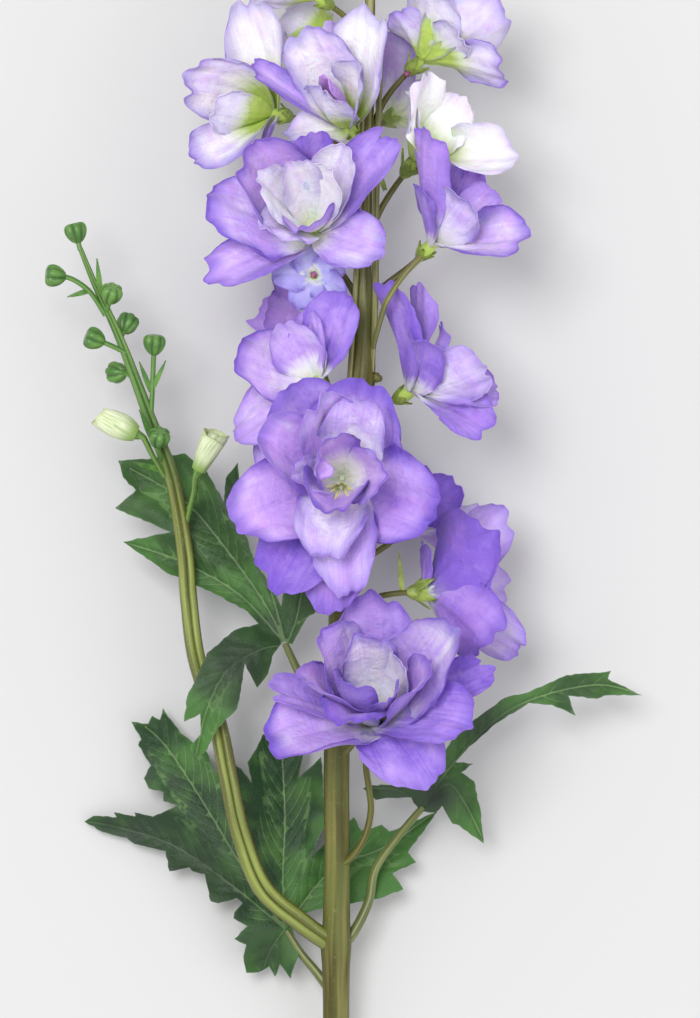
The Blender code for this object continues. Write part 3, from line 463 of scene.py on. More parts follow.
def shell(cast, grid, thickness, u, v, facing, **values):
    """Add a thin closed sheet: a grid of points with its upper side towards facing and a thickness."""
    normals = unit(np.cross(np.gradient(grid, axis=1), np.gradient(grid, axis=0)))
    normals *= np.where((normals * facing).sum(-1, keepdims=True) < 0, -1.0, 1.0)
    half = thickness / 2 * MM
    front, back = grid + normals * half, grid - normals * half
    loop = np.concatenate([front, back[:, ::-1]], axis=1)
    sides = np.broadcast_to(np.repeat([0.0, 1.0], grid.shape[1]), loop.shape[:2])
    both = {key: np.concatenate([field, field[:, ::-1]], axis=1) if np.ndim(field) else field
            for key, field in values.items()}
    cast.add(loop, v, np.concatenate([u, u[::-1], u[:1]]), back=sides, **both)


def turned(vector, axis, angle):
    """A vector turned about an axis."""
    return np.array(Quaternion(Vector(axis), angle) @ Vector(vector))


def sepal(cast, foot, axis, outward, length, width, rise):
    """Add a small pointed green leaf that grows out and up from a foot."""
    s, t = np.linspace(-1, 1, 7)[None, :, None], np.linspace(0, 1, 9)[:, None, None]
    across = np.cross(axis, outward)
    half = width / 2 * (np.sin(math.pi * (0.22 + 0.78 * t)) ** 0.8) * (1 - 0.25 * t) + 0.05
    reach = outward * (1 - rise) + axis * rise
    line = foot + reach * (t * length * MM) + axis * (SEPAL_ARCH * t * t * MM)
    grid = line + across * (s * half * MM) - outward * (SEPAL_HOLLOW * s * s * MM)
    shell(cast, grid, SEPAL_THICKNESS, around(6), around(8), axis)


def sepal_ring(cast, foot, axis, out, down, *shape):
    """Add sepals of a length, width and rise round a foot, each from a place out and down from it."""
    side = beside(axis)
    for number in range(SEPALS):
        outward = turned(side, axis, 2 * math.pi * number / SEPALS)
        sepal(cast, foot + outward * (out * MM) - axis * (down * MM), axis, outward, *shape)


def bract(cast, foot_spot, tip_spot, width):
    """Add a small pointed leaf that lies flat from one plan spot to another."""
    root, end = place(foot_spot), place(tip_spot)
    way = unit(end - root)
    sepal(cast, root, unit(UP - way * way[2]), way, np.linalg.norm(end - root) / MM, width, 0.0)


def calyx(cast, foot, axis, length):
    """Add the green cup under a flower, with its pointed sepals."""
    stalk(cast, foot + axis * (CALYX_STEPS[:, :1] * MM), CALYX_STEPS[:, 1] * MM, 20, 0.07, 5)
    width = SEPAL_WIDTH * (0.6 + 0.4 * length / SEPAL_LENGTH)
    sepal_ring(cast, foot, axis, 1.7, 1.2, length, width, SEPAL_RISE)


def calyx_green():
    """Yellow-green semi-gloss plastic, blotched and finely flecked with a lighter green."""
    green = Finish("calyx_green", 0.45)
    blotch = green.grain(260.0)
    fine = green.grain(1500.0, 2.0)
    base = green.mix(blotch.step(0.35, 0.7), (0.17, 0.24, 0.035), (0.36, 0.46, 0.09))
    wear_and_sheen = green.mix(fine.step(0.55, 0.8) * 0.4, base, (0.50, 0.56, 0.20))
    green.bump(fine, 0.2, 0.0003)
    return green.paint(wear_and_sheen, blotch * 0.2 + 0.38)


cups = Cast()
for flower_name, (foot_spot, flower_axis, stem_down) in SEATS.items():
    flower_foot, flower_axis = place(foot_spot), unit(np.array(flower_axis))
    if flower_name == "bloom_low":
        stalk_points = run_of(LOW_STALK, 4)
    else:
        stalk_points = stalk_run(flower_foot, flower_axis, stem_down)
    stalk_radii = STALK_RADIUS * MM * np.linspace(1.3, 1.0, len(stalk_points))
    stalk(stem, stalk_points, stalk_radii, 12, 0.05, 3)
    calyx(cups, flower_foot, flower_axis, LONG_SEPALS.get(flower_name, SEPAL_LENGTH))
stub_points, stub_radii = in_metres(smooth_run(STUB, 6))
stalk(stem, stub_points, stub_radii, 16, 0.06, 3)


def bud(cast, foot, axis, radius, length, ribs=6, dent=0.14, **values):
    """Add a rounded, ribbed bud on its foot, with a small dent at its tip."""
    sides, rows = ribs * 6, 13
    side = beside(axis)
    over = np.cross(axis, side)
    fall = np.linspace(math.pi, 0.0, rows)
    angles = np.linspace(0, 2 * math.pi, sides, endpoint=False)
    valley = np.abs(np.cos(ribs / 2 * angles)) ** 5
    share = 0.5 + 0.5 * np.cos(fall)
    height = length * share - dent * length * np.exp(-(fall / 0.45) ** 2)
    reach = 1.08 * radius * np.maximum(np.sin(fall), 0.02) ** 0.85 * (0.62 + 0.45 * share ** 0.8)
    wide = reach[:, None] * (1 - 0.22 * valley[None, :])
    grid = (foot + axis * (height[:, None, None] * MM) + side * (wide * np.cos(angles))[..., None] * MM
            + over * (wide * np.sin(angles))[..., None] * MM)
    cast.add(grid, np.linspace(0, 1, rows), valley=valley[None, :], **values)


for knob_spot, knob_radius in STEM_KNOBS:
    bud(stem, place(knob_spot) - UP * (knob_radius * MM), UP, knob_radius, 2 * knob_radius, 3, 0.0)
for bract_foot, bract_tip in STEM_BRACTS:
    bract(cups, bract_foot, bract_tip, 1.8)

# The green buds at the very tip of the stem, in a spiral, each on a short stalk.
TIP_BUDS = 7
TIP_BUD_TURN = 137.5            # from one bud to the next, in degrees
TIP_BUD_FIRST = 6               # how far the lowest is above the young flowers, in plan pixels
BUD_RADIUS = 3.9


def bud_green():
    """Green semi-gloss plastic, yellower at the tips, with painted shade in the valleys between the ribs."""
    green = Finish("bud_green", 0.4, Coat_Weight=0.15, Coat_Roughness=0.3)
    _, v = green.uv()
    blotch = green.grain(180.0)
    fine = green.grain(1200.0, 2.0)
    base = green.mix(blotch.step(0.35, 0.7), (0.050, 0.155, 0.022), (0.125, 0.285, 0.045))
    tipped = green.mix(v.step(0.80, 1.0) * 0.5, base, (0.22, 0.36, 0.10))
    # Painted shade: the valleys between the ribs are darkened.
    ribbed = green.mix(green.value("valley").step(0.15, 0.9) * 0.6, tipped, (0.018, 0.060, 0.010))
    wear_and_sheen = green.mix(fine.step(0.58, 0.8) * 0.3, ribbed, (0.33, 0.45, 0.20))
    green.bump(fine, 0.2, 0.0003)
    return green.paint(wear_and_sheen, blotch * 0.25 + 0.3)


tip_buds = Cast()
tip_low, tip_high = MAIN_STEM[-2][1] + TIP_BUD_FIRST, MAIN_STEM[-1][1]
for bud_number in range(TIP_BUDS):
    share = bud_number / (TIP_BUDS - 1)
    centre = place(stem_spot(max(tip_low + (tip_high - tip_low) * share, tip_high)))
    turn = math.radians(TIP_BUD_TURN * bud_number + 40)
    bud_way = unit(np.array((math.cos(turn), 0.75, math.sin(turn))))
    bud_size = BUD_RADIUS * (0.95 - 0.35 * share)
    bud_middle = centre + bud_way * ((8.5 - 5.0 * share) * MM)
    stalk(stem, np.linspace(centre, bud_middle, 5), np.full(5, 0.8 * MM))
    bud(tip_buds, bud_middle - bud_way * (1.1 * bud_size * MM), bud_way, bud_size, 2.2 * bud_size)

stem_piece = stem.made("stem_moulding", moulded_olive())
cup_piece = cups.made("calyx_cups", calyx_green())
tip_piece = tip_buds.made("tip_buds", bud_green())
for piece, slot in ((stem_piece, "stem_olive"), (cup_piece, "stem_olive"), (tip_piece, "bud_green")):
    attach(piece, "root")
    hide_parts("main_stem")

# The side branch: two thin cords moulded side by side, olive low down and green above, with round ribbed buds
# on short stalks and a few pointed bracts.
BUD_BRANCH = [
    (334, 950, 20, 3.4), (300, 925, 25, 3.4), (262, 890, 29, 3.4), (240, 835, 32, 3.3), (228, 780, 33, 3.2),
    (217, 725, 33, 3.1), (196, 660, 33, 3.0), (188, 600, 33, 2.9), (184, 550, 34, 2.8), (172, 480, 36, 2.5),
    (150, 420, 38, 2.1), (120, 340, 40, 1.5), (95, 285, 42, 1.1), (80, 248, 43, 0.8),
]
BRANCH_BUDS = [
    [(76, 233, 43), (80, 250, 43)],
    [(56, 276, 46), (72, 279, 45), (90, 292, 43), (105, 315, 41)],
    [(111, 295, 45), (106, 312, 41)],
    [(126, 324, 36), (120, 338, 39)],
    [(95, 339, 43), (110, 345, 42), (125, 352, 40)],
    [(154, 345, 42), (153, 364, 41), (152, 390, 40), (150, 422, 38)],
    [(117, 372, 34), (128, 374, 37), (137, 384, 39)],
    [(159, 439, 45), (158, 450, 42), (162, 462, 37)],
]
BRANCH_BRACTS = [
    [(90, 290, 42), (67, 297, 44)],
    [(150, 390, 40), (139, 361, 43)],
    [(152, 440, 40), (139, 409, 44)],
    [(100, 292, 42), (97, 258, 46)],
    [(150, 392, 40), (166, 360, 43)],
    [(160, 470, 37), (132, 462, 45)],
    [(186, 514, 35), (199, 484, 40)],
]
PALE_BUDS = {
    "pale_bud_left": [(136, 434, 45), (94, 415, 46), (152, 455, 42), (164, 476, 37)],
    "pale_bud_right": [(199, 470, 47), (217, 434, 50), (194, 490, 42), (186, 522, 35)],
}
BUD_STALK_RADII = (0.85, 0.9)   # of the green buds' stalks and the pale buds'
TWIN_SIDES = 36
TWIN_RADIUS, TWIN_APART, TWIN_DEEPER = 0.60, 0.40, 1.3
GREEN_FROM_PX, GREEN_FADE_PX = 500, 90      # where the branch turns from olive to green


def twin_cord(angles):
    """The outline of two round cords moulded side by side."""
    half_chord = np.sqrt(np.maximum(TWIN_RADIUS ** 2 - (TWIN_APART * np.sin(angles)) ** 2, 0))
    radius = TWIN_APART * np.abs(np.cos(angles)) + half_chord
    return np.stack([np.cos(angles) * radius, np.sin(angles) * radius * TWIN_DEEPER], 1)


def branch_plastic():
    """Semi-gloss plastic, olive low on the branch and green above, with brownish painted shade on its flanks
    and dark painted shade in the dip between its cords.
    """
    skin = Finish("branch_plastic", 0.36, Coat_Weight=0.2, Coat_Roughness=0.25)
    streak = skin.streaks(8.0, 20.0, detail=4.0)
    fine = skin.grain(900.0, 2.0)
    olive = skin.mix(streak.step(0.35, 0.7), (0.105, 0.115, 0.018), (0.26, 0.32, 0.055))
    green = skin.mix(streak.step(0.35, 0.7), (0.045, 0.14, 0.018), (0.17, 0.33, 0.06))
    base = skin.mix(skin.value("upper"), olive, green)
    # Painted shade: the flanks, which face sideways rather than up, are darkened towards a brown olive.
    shaded_sides = skin.mix(skin.value("side").step(0.20, 0.85) * 0.7, base, (0.085, 0.060, 0.012))
    # Painted shade in the dip between the two cords.
    groove = skin.mix(skin.value("groove") * 0.75, shaded_sides, (0.030, 0.040, 0.006))
    wear_and_sheen = skin.mix(fine.step(0.6, 0.8) * 0.25, groove, (0.5, 0.5, 0.25))
    skin.bump(streak * 0.7 + fine * 0.3, 0.2, 0.0005)
    return skin.paint(wear_and_sheen, streak * 0.2 + 0.27)


branch = Cast()
branch_run = smooth_run(BUD_BRANCH, 9)
branch_points, branch_radii = in_metres(branch_run)
branch_first = np.cross(branch_points[1] - branch_points[0], UP)
branch_angles = np.linspace(0, 2 * math.pi, TWIN_SIDES, endpoint=False)
branch_outline = twin_cord(branch_angles)
branch_grid, branch_reach = sweep(branch_points, branch_radii, branch_outline, first_side=branch_first)
branch.add(branch_grid, branch_reach,
           upper=np.clip((GREEN_FROM_PX - branch_run[:, 1]) / GREEN_FADE_PX, 0, 1)[:, None],
           # The dip between the two cords, which the finish darkens as painted shade.
           groove=np.exp(-(np.cos(branch_angles) / 0.18) ** 2)[None, :],
           # How far each point faces sideways rather than up, which the finish darkens as painted shade.
           side=1 - np.abs(unit(branch_grid - branch_points[:, None])[..., 2]))
branch_buds = Cast()
for bud_spots in BRANCH_BUDS:
    stalk_line = run_of(bud_spots, 6)
    bud_way = unit(stalk_line[0] - stalk_line[3])
    bud_foot = place(bud_spots[0]) - bud_way * (3.5 * MM)
    bud(branch_buds, bud_foot, bud_way, BUD_RADIUS, 1.95 * BUD_RADIUS)
    stalk(branch, stalk_line, np.full(len(stalk_line), BUD_STALK_RADII[0] * MM), upper=1.0)
for bud_foot, bud_tip, *stalk_spots in PALE_BUDS.values():
    bud_way = unit(place(bud_tip) - place(bud_foot))
    seat = place(bud_foot) - bud_way * (0.3 * MM)
    lower = run_of(stalk_spots, 6)
    stalk_line = np.vstack([seat, seat - bud_way * (1.2 * MM), seat - bud_way * (2.5 * MM), lower])
    stalk_radii = np.concatenate([[1.6, 1.4, 1.0], np.full(len(lower), BUD_STALK_RADII[1])]) * MM
    stalk(branch, stalk_line, stalk_radii, 12, upper=0.8)
    sepal_ring(branch_buds, seat, bud_way, 1.0, 1.0, 5.5, 2.6, 0.75)
for bract_foot, bract_tip in BRANCH_BRACTS:
    bract(branch_buds, bract_foot, bract_tip, 1.9)
branch_piece = branch.made("branch_cords", branch_plastic())
branch_bud_piece = branch_buds.made("branch_buds", bud_green())
for piece in (branch_piece, branch_bud_piece):
    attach(piece, "root")
    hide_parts("bud_branch")

# The two half-open buds: cream cloth petals wrapped round each other, greenish at their foot.
PALE_BUD_LENGTH = 15.0
PALE_BUD_RADIUS = 4.3
PALE_BUD_WRAPS = 4
PALE_BUD_THICKNESS = 0.45
WRAP_HALF_ANGLE = math.radians(75)
WRAP_ROWS, WRAP_COLUMNS = 17, 15


def bud_cloth():
    """Cream cloth with fine lengthwise streaks, green at the foot of the bud."""
    cream = Finish("bud_cloth", 0.75, Sheen_Weight=0.1)
    u, v = cream.uv()
    streak = cream.streaks(30.0, 2.0)
    base = cream.mix(streak.step(0.3, 0.7), (0.42, 0.53, 0.24), (0.76, 0.80, 0.58))
    green = cream.mix(v.step(0.0, 0.45), (0.20, 0.33, 0.06), base)
    edged = cream.mix(abs(u * 2.0 - 1.0).step(0.75, 1.0) * 0.7, green, (0.26, 0.38, 0.12))
    cream.bump(streak, 0.4, 0.0005)
    return cream.paint(cream.mix(v.step(0.9, 1.0) * 0.5, edged, (0.45, 0.50, 0.22)))


bud_cream = bud_cloth()
for bud_name, (foot_spot, tip_spot, *_) in PALE_BUDS.items():
    bud_foot = place(foot_spot)
    bud_way = unit(place(tip_spot) - bud_foot)
    bud_side = beside(bud_way)
    bud_over = np.cross(bud_way, bud_side)
    t, s = np.linspace(0, 1, WRAP_ROWS)[:, None], np.linspace(-1, 1, WRAP_COLUMNS)[None, :]
    closed = np.sin(math.pi * (0.12 + 0.70 * t)) ** 0.6
    opened = 0.50 + 0.62 * t - 0.10 * t * t
    profile = opened if bud_name == "pale_bud_right" else closed
    wrapped = Cast()
    for number in range(PALE_BUD_WRAPS):
        turn = 2 * math.pi * number / PALE_BUD_WRAPS + WRAP_HALF_ANGLE * s + 0.5 * t
        girth = PALE_BUD_RADIUS * profile * (0.92 + 0.05 * number) * (1 - 0.08 * t * np.abs(s))
        length = PALE_BUD_LENGTH * (0.99 - 0.05 * number) * t * (1 - 0.10 * t * s ** 2)
        wrap = (bud_foot + bud_way * (length[..., None] * MM)
                + bud_side * (girth * np.cos(turn))[..., None] * MM
                + bud_over * (girth * np.sin(turn))[..., None] * MM)
        facing = bud_side * np.cos(turn)[..., None] + bud_over * np.sin(turn)[..., None]
        shell(wrapped, wrap, PALE_BUD_THICKNESS, around(WRAP_COLUMNS - 1), around(WRAP_ROWS - 1), facing)
    bud(wrapped, bud_foot, bud_way, PALE_BUD_RADIUS * 0.82, PALE_BUD_LENGTH * 0.9, 4, 0.0)
    piece = wrapped.made(bud_name + "_wraps", bud_cream)
    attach(piece, "root")
    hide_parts(bud_name)

# The leaves: toothed, palmate blades of dark green coated cloth, pressed with branching veins, each on its
# own moulded petiole. Their outlines, ribs and petioles are plan places.
# Each leaf also lists spots of painted shade on its lobes, as plan places and widths, and how much painted
# light lies over its whole blade.
LEAVES = {
    "leaf_low": {
        "outline": [
            (296, 948), (298, 962), (295, 968), (290, 985), (279, 970), (274, 983), (268, 973), (257, 979),
            (245, 979), (242, 962), (245, 950), (233, 944), (246, 931), (232, 923), (233, 917), (241, 908),
            (235, 903), (217, 908), (209, 906), (203, 879), (190, 876), (187, 872), (167, 876), (163, 856),
            (150, 853), (131, 849), (123, 843), (98, 837), (80, 827), (89, 821), (113, 822), (110, 817),
            (132, 821), (131, 817), (150, 821), (175, 809), (161, 805), (161, 796), (146, 792), (141, 782),
            (148, 769), (135, 749), (138, 743), (128, 725), (145, 727), (149, 719), (157, 723), (160, 711),
            (178, 736), (205, 755), (214, 777), (224, 761), (240, 772), (250, 786), (246, 766), (255, 752),
            (261, 738), (282, 734), (304, 750), (298, 781), (321, 760), (324, 809), (326, 826), (309, 864),
            (334, 836), (354, 821), (362, 835), (382, 829), (390, 836), (439, 816), (409, 857), (417, 867),
            (393, 878), (404, 894), (384, 902), (330, 912), (305, 918), (292, 930),
        ],
        "ribs": [
            [(284, 934, 14), (246, 880, 15), (205, 812, 13), (165, 752, 9), (142, 730, 5)],
            [(284, 934, 14), (230, 890, 12), (170, 850, 8), (112, 832, 4), (82, 827, 2.5)],
            [(284, 934, 14), (282, 880, 13), (284, 820, 10), (280, 742, 6)],
            [(284, 934, 14), (330, 876, 11), (385, 852, 9), (436, 817, 7)],
            [(284, 934, 14), (270, 955, 11), (262, 976, 8)],
        ],
        "petiole": [(286, 936, 14), (300, 958, 15), (318, 980, 16), (334, 1002, 17.5)],
        "lobe_shade": [(120, 845, 60), (200, 890, 50), (268, 958, 26)],
        "painted_light": 0.05,
        "fold": 0.19,
    },
    "leaf_mid_left": {
        "outline": [
            (283, 642), (272, 657), (268, 674), (257, 688), (245, 664), (241, 690), (237, 709), (218, 728),
            (207, 750), (195, 761), (190, 746), (200, 735), (200, 714), (184, 722), (187, 697), (207, 653),
            (235, 630), (258, 624), (247, 612), (218, 596), (180, 579), (165, 573), (153, 564), (138, 554),
            (121, 542), (169, 532), (113, 508), (134, 490), (121, 477), (116, 460), (150, 458), (184, 453),
            (206, 471), (223, 502), (225, 478), (237, 462), (240, 490), (236, 512), (256, 564), (273, 588),
            (281, 606), (284, 590), (300, 581), (321, 608), (306, 619), (292, 645),
        ],
        "ribs": [
            [(286, 646, 37), (262, 600, 34), (218, 540, 28), (182, 500, 25), (128, 468, 22)],
            [(286, 646, 37), (240, 596, 32), (180, 562, 27), (124, 543, 22)],
            [(286, 646, 37), (260, 650, 42), (226, 672, 45), (206, 712, 43), (195, 758, 36)],
            [(286, 646, 37), (270, 590, 35), (244, 520, 31), (237, 466, 28)],
            [(286, 646, 37), (296, 620, 38), (302, 590, 38)],
        ],
        "petiole": [(285, 644, 37), (296, 668, 36), (312, 700, 34), (330, 738, 31.5)],
        "lobe_shade": [(235, 665, 42), (236, 500, 22)],
        "painted_light": 0.22,
        "fold": 0.19,
    },
    "leaf_mid_right": {
        "outline": [
            (420, 814), (412, 800), (393, 800), (376, 802), (363, 790), (372, 787), (400, 786), (424, 782),
            (436, 768), (452, 742), (462, 730), (490, 710), (505, 699), (530, 693), (568, 676), (600, 674),
            (613, 672), (610, 680), (645, 697), (606, 697), (599, 700), (570, 697), (577, 717), (553, 706),
            (530, 704), (498, 724), (470, 748), (456, 764), (474, 765), (462, 774), (475, 783), (482, 814),
            (485, 847), (460, 828), (453, 826), (443, 808), (436, 815),
        ],
        "ribs": [
            [(421, 812, 24), (452, 768, 28), (495, 722, 31), (540, 698, 30), (600, 686, 27), (643, 696, 22)],
            [(421, 812, 24), (448, 786, 27), (466, 806, 25), (484, 842, 18)],
            [(421, 812, 24), (400, 793, 26), (366, 790, 28)],
        ],
        "petiole": [
            (424, 809, 24), (399, 839, 20), (376, 872, 18), (369, 905, 18), (354, 936, 19), (336, 958, 20),
        ],
        "lobe_shade": [(395, 798, 40), (440, 800, 24), (480, 722, 34)],
        "painted_light": 0.2,
        "fold": 0.12,
    },
}
LEAF_THICKNESS = 0.6
LEAF_CLEARANCE = 1.6
LEAF_POINT_GAP = 1.05           # millimetres between the points of a blade's mesh
RIB_BLEND = 20.0
RIB_REACH = 40
VEIN_GAP_PX = 15.0              # between the side veins along a rib
VEIN_LEAN = math.radians(40)    # between a side vein and its rib
VEIN_BEND = 0.035               # how far a side vein bends back at each step, in radians
VEIN_STEP_PX = 4.0
VEIN_STEPS = 16
QUILT = 0.52                    # how far the blade bulges between its veins
FLUTTER = 0.7                   # how far its rim waves up and down
EDGE_STEP_PX = 4.5              # between the points of its rim
FRAY_PX = 0.7


def nearest(spots, line):
    """For plan spots, the distance to a line of plan points and the height that the line has there."""
    best = np.full(len(spots), 1e9)
    height = np.zeros(len(spots))
    for a, b in zip(line, line[1:]):
        way = b[:2] - a[:2]
        share = np.clip(((spots - a[:2]) @ way) / max(way @ way, 1e-9), 0, 1)
        gap = np.linalg.norm(spots - a[:2] - share[:, None] * way, axis=1)
        closer = gap < best
        best = np.where(closer, gap, best)
        if len(a) > 2:
            height = np.where(closer, a[2] + (b[2] - a[2]) * share, height)
    return best, height


def blade_height(spots, ribs, fold):
    """Height of a blade at plan spots: that of its ribs, raised a little between them."""
    total = np.zeros(len(spots))
    weights = np.zeros(len(spots))
    for rib in ribs:
        gap, height = nearest(spots, np.array(rib, float))
        weight = 1 / (gap * gap + RIB_BLEND)
        total += weight * (height + fold * np.minimum(gap, RIB_REACH) * MM_PER_PX)
        weights += weight
    return total / weights


def is_inside(spots, outline):
    """Which plan spots lie inside an outline."""
    inside = np.zeros(len(spots), bool)
    for (x0, y0), (x1, y1) in zip(outline, np.roll(outline, -1, axis=0)):
        crosses = (y0 > spots[:, 1]) != (y1 > spots[:, 1])
        with np.errstate(divide="ignore", invalid="ignore"):
            edge = (x1 - x0) * (spots[:, 1] - y0) / (y1 - y0) + x0
        inside ^= crosses & (spots[:, 0] < edge)
    return inside


def side_veins(ribs, outline):
    """Veins that branch off the ribs on both sides, each until it nears the edge or another rib."""
    runs = [smooth_run(rib, 6)[:, :2] for rib in ribs]
    veins = []
    for own, run in enumerate(runs):
        reach = lengths(run)
        for number, gone in enumerate(np.arange(VEIN_GAP_PX * 0.9, reach[-1] * 0.94, VEIN_GAP_PX / 2)):
            hand = 1 if number % 2 else -1
            spot, later = [np.array([np.interp(far, reach, run[:, axis]) for axis in (0, 1)])
                           for far in (gone, gone + 3)]
            heading = math.atan2(*(later - spot)[::-1]) + hand * VEIN_LEAN
            vein = [spot]
            for _ in range(VEIN_STEPS):
                heading -= hand * VEIN_BEND
                way = np.array([math.cos(heading), math.sin(heading)])
                spot = spot + VEIN_STEP_PX * way
                gaps = [nearest(spot[None], other)[0][0] for other in runs]
                ahead = spot + 1.6 * VEIN_STEP_PX * way
                if not is_inside(ahead[None], outline)[0] or min(gaps) < gaps[own] - 1e-6:
                    break
                vein.append(spot)
            if len(vein) > 2:
                veins.append(np.array(vein))
    return runs, veins


def frayed(outline, draw):
    """An outline with points between its corners, moved a little at random."""
    rim = []
    for start, end in zip(outline, np.roll(outline, -1, axis=0)):
        count = max(2, int(np.linalg.norm(end - start) / EDGE_STEP_PX))
        for step in range(count):
            fray = FRAY_PX if step else 0.0
            off = np.array([draw.uniform(-fray, fray) for _ in "xy"])
            rim.append(start + (end - start) * step / count + off)
    return np.array(rim)


def blade_mesh(name, spec, material):
    """The blade as a thin closed sheet whose edges follow its veins."""
    outline = np.array(spec["outline"], float)
    rim = frayed(outline, random.Random(name))
    closed_rim = np.vstack([rim, rim[:1]])
    ribs, veins = side_veins(spec["ribs"], outline)
    pitch = LEAF_POINT_GAP / MM_PER_PX
    low, high = outline.min(0), outline.max(0)
    across, down = np.meshgrid(np.arange(low[0], high[0], pitch), np.arange(low[1], high[1], pitch * 0.87))
    across = across + (np.arange(len(across)) % 2)[:, None] * pitch / 2
    field = np.stack([across.ravel(), down.ravel()], 1)
    field = field[is_inside(field, outline)]
    vein_gap = np.min([nearest(field, line)[0] for line in ribs + veins], axis=0)
    field = field[(nearest(field, closed_rim)[0] > pitch * 0.5) & (vein_gap > pitch * 0.45)]
    spots = [Vector(spot) for spot in rim]
    edges = [(number, (number + 1) % len(rim)) for number in range(len(rim))]
    for line in ribs + veins:
        edges += [(len(spots) + number, len(spots) + number + 1) for number in range(len(line) - 1)]
        spots += [Vector(spot) for spot in line]
    spots += [Vector(spot) for spot in field]
    flat, _, cells, *_ = delaunay_2d_cdt(spots, edges, [], 1, 1e-3)
    flat = np.array([tuple(spot) for spot in flat])
    cells = np.array([cell for cell in cells if len(cell) == 3])
    used, cells = np.unique(cells[is_inside(flat[cells].mean(1), rim)], return_inverse=True)
    flat, cells = flat[used], cells.reshape(-1, 3)

    main_gap, side_gap = [np.min([nearest(flat, line)[0] for line in lines], axis=0) * MM_PER_PX
                          for lines in (ribs, veins)]
    rim_gap = nearest(flat, closed_rim)[0] * MM_PER_PX
    height = np.maximum(blade_height(flat, spec["ribs"], spec["fold"]), LEAF_CLEARANCE)
    height = height + QUILT * (1 - np.exp(-np.minimum(main_gap * 1.2, side_gap) / 0.9)) - 0.5 * QUILT
    flutter = np.sin(flat[:, 0] * 0.11 + 1.0) * np.cos(flat[:, 1] * 0.13) * np.exp(-rim_gap / 5.0)
    height = height + FLUTTER * flutter * np.minimum(main_gap / 6.0, 1.0)
    points = np.array([place((*spot, lift)) for spot, lift in zip(flat, height)])
    half = UP * (LEAF_THICKNESS / 2 * MM)
    counts = {}
    for cell in cells:
        for a, b in ((cell[0], cell[1]), (cell[1], cell[2]), (cell[2], cell[0])):
            counts.setdefault((min(a, b), max(a, b)), []).append((a, b))
    size = len(points)
    faces = [tuple(cell) for cell in cells] + [tuple(cell[::-1] + size) for cell in cells]
    faces += [(b, a, a + size, b + size) for uses in counts.values() if len(uses) == 1 for a, b in uses]
    # Painted shade on some lobes: it fades out from each listed spot over its width.
    lobe_shade = sum(np.exp(-((flat[:, 0] - x) ** 2 + (flat[:, 1] - y) ** 2) / wide ** 2)
                for x, y, wide in spec["lobe_shade"])
    values = {"main_gap": main_gap, "side_gap": side_gap, "rim_gap": rim_gap, "lobe_shade": lobe_shade,
              "painted_light": np.full(size, spec["painted_light"])}
    values = {key: np.tile(field, 2) for key, field in values.items()}
    values["under"] = np.repeat([0.0, 1.0], size)
    return cut_piece(name, np.vstack([points + half, points - half]), faces, values, material, 50)


def leaf_cloth():
    """Dark green coated cloth with pale veins and a lighter underside, with painted light over some blades,
    painted shade by the main ribs and on some lobes, and whitish patches of painted sheen.
    """
    leaf = Finish("leaf_cloth", 0.5, Specular_IOR_Level=0.28)
    broad, blotch, weave = leaf.grain(28.0), leaf.grain(110.0, 4.0), leaf.grain(1600.0, 2.0)
    main_gap, side_gap = leaf.value("main_gap"), leaf.value("side_gap")
    base = leaf.mix(broad.step(0.42, 0.58), (0.008, 0.036, 0.010), (0.046, 0.145, 0.026))
    lighter = leaf.mix(blotch.step(0.45, 0.75) * 0.6, base, (0.070, 0.17, 0.035))
    side_line = 1.0 - side_gap.step(0.02, 0.20)
    main_line = 1.0 - main_gap.step(0.10, 0.38)
    # Painted light: each leaf's listed share lightens its whole blade.
    painted_light = leaf.mix(leaf.value("painted_light"), lighter, (0.115, 0.235, 0.065))
    # Painted shade: darker near the main ribs, which lie low in the folds of the blade.
    shade = leaf.mix((1.0 - main_gap.step(0.4, 1.6)) * 0.35, painted_light, (0.012, 0.035, 0.014))
    veined = leaf.mix(side_line * blotch.step(0.35, 0.65) * 0.6, shade, (0.15, 0.27, 0.09))
    ribbed = leaf.mix(main_line * (blotch * 0.8 + 0.1), veined, (0.19, 0.31, 0.11))
    # Painted sheen: whitish patches over the weave.
    wear_and_sheen = leaf.mix(weave.step(0.55, 0.8) * broad.step(0.4, 0.7) * 0.08, ribbed, (0.26, 0.34, 0.22))
    edged = leaf.mix((1.0 - leaf.value("rim_gap").step(0.0, 0.5)) * 0.5, wear_and_sheen, (0.12, 0.20, 0.10))
    # Painted shade on the listed lobes, towards a dark grey-green.
    lobe_shade = leaf.mix(leaf.value("lobe_shade") * 0.75, edged, (0.026, 0.040, 0.027))
    under = leaf.mix(leaf.value("under"), lobe_shade, (0.12, 0.19, 0.10))
    leaf.bump(weave * 0.3 + blotch * 0.9, 0.6, 0.0012)
    return leaf.paint(under, blotch * 0.3 + 0.33)


def petiole_plastic():
    """Smooth green-olive plastic."""
    skin = Finish("petiole_plastic", 0.4, Coat_Weight=0.15, Coat_Roughness=0.3)
    streak = skin.streaks(8.0, 30.0, detail=4.0)
    streaked = skin.mix(streak.step(0.35, 0.7), (0.075, 0.095, 0.02), (0.20, 0.23, 0.065))
    skin.bump(streak, 0.2, 0.0004)
    return skin.paint(streaked, streak * 0.2 + 0.3)


leaf_green, petiole_green = leaf_cloth(), petiole_plastic()
for leaf_name, leaf_spec in LEAVES.items():
    blade = blade_mesh(leaf_name + "_blade", leaf_spec, leaf_green)
    petiole = Cast()
    petiole_points = run_of(leaf_spec["petiole"], 8)
    petiole_radii = np.linspace(1.1, 1.8, len(petiole_points)) * MM
    stalk(petiole, petiole_points, petiole_radii, 16, 0.08, 2)
    petiole_piece = petiole.made(leaf_name + "_petiole", petiole_green)
    for piece in (blade, petiole_piece):
        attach(piece, "root")
        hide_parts(leaf_name)

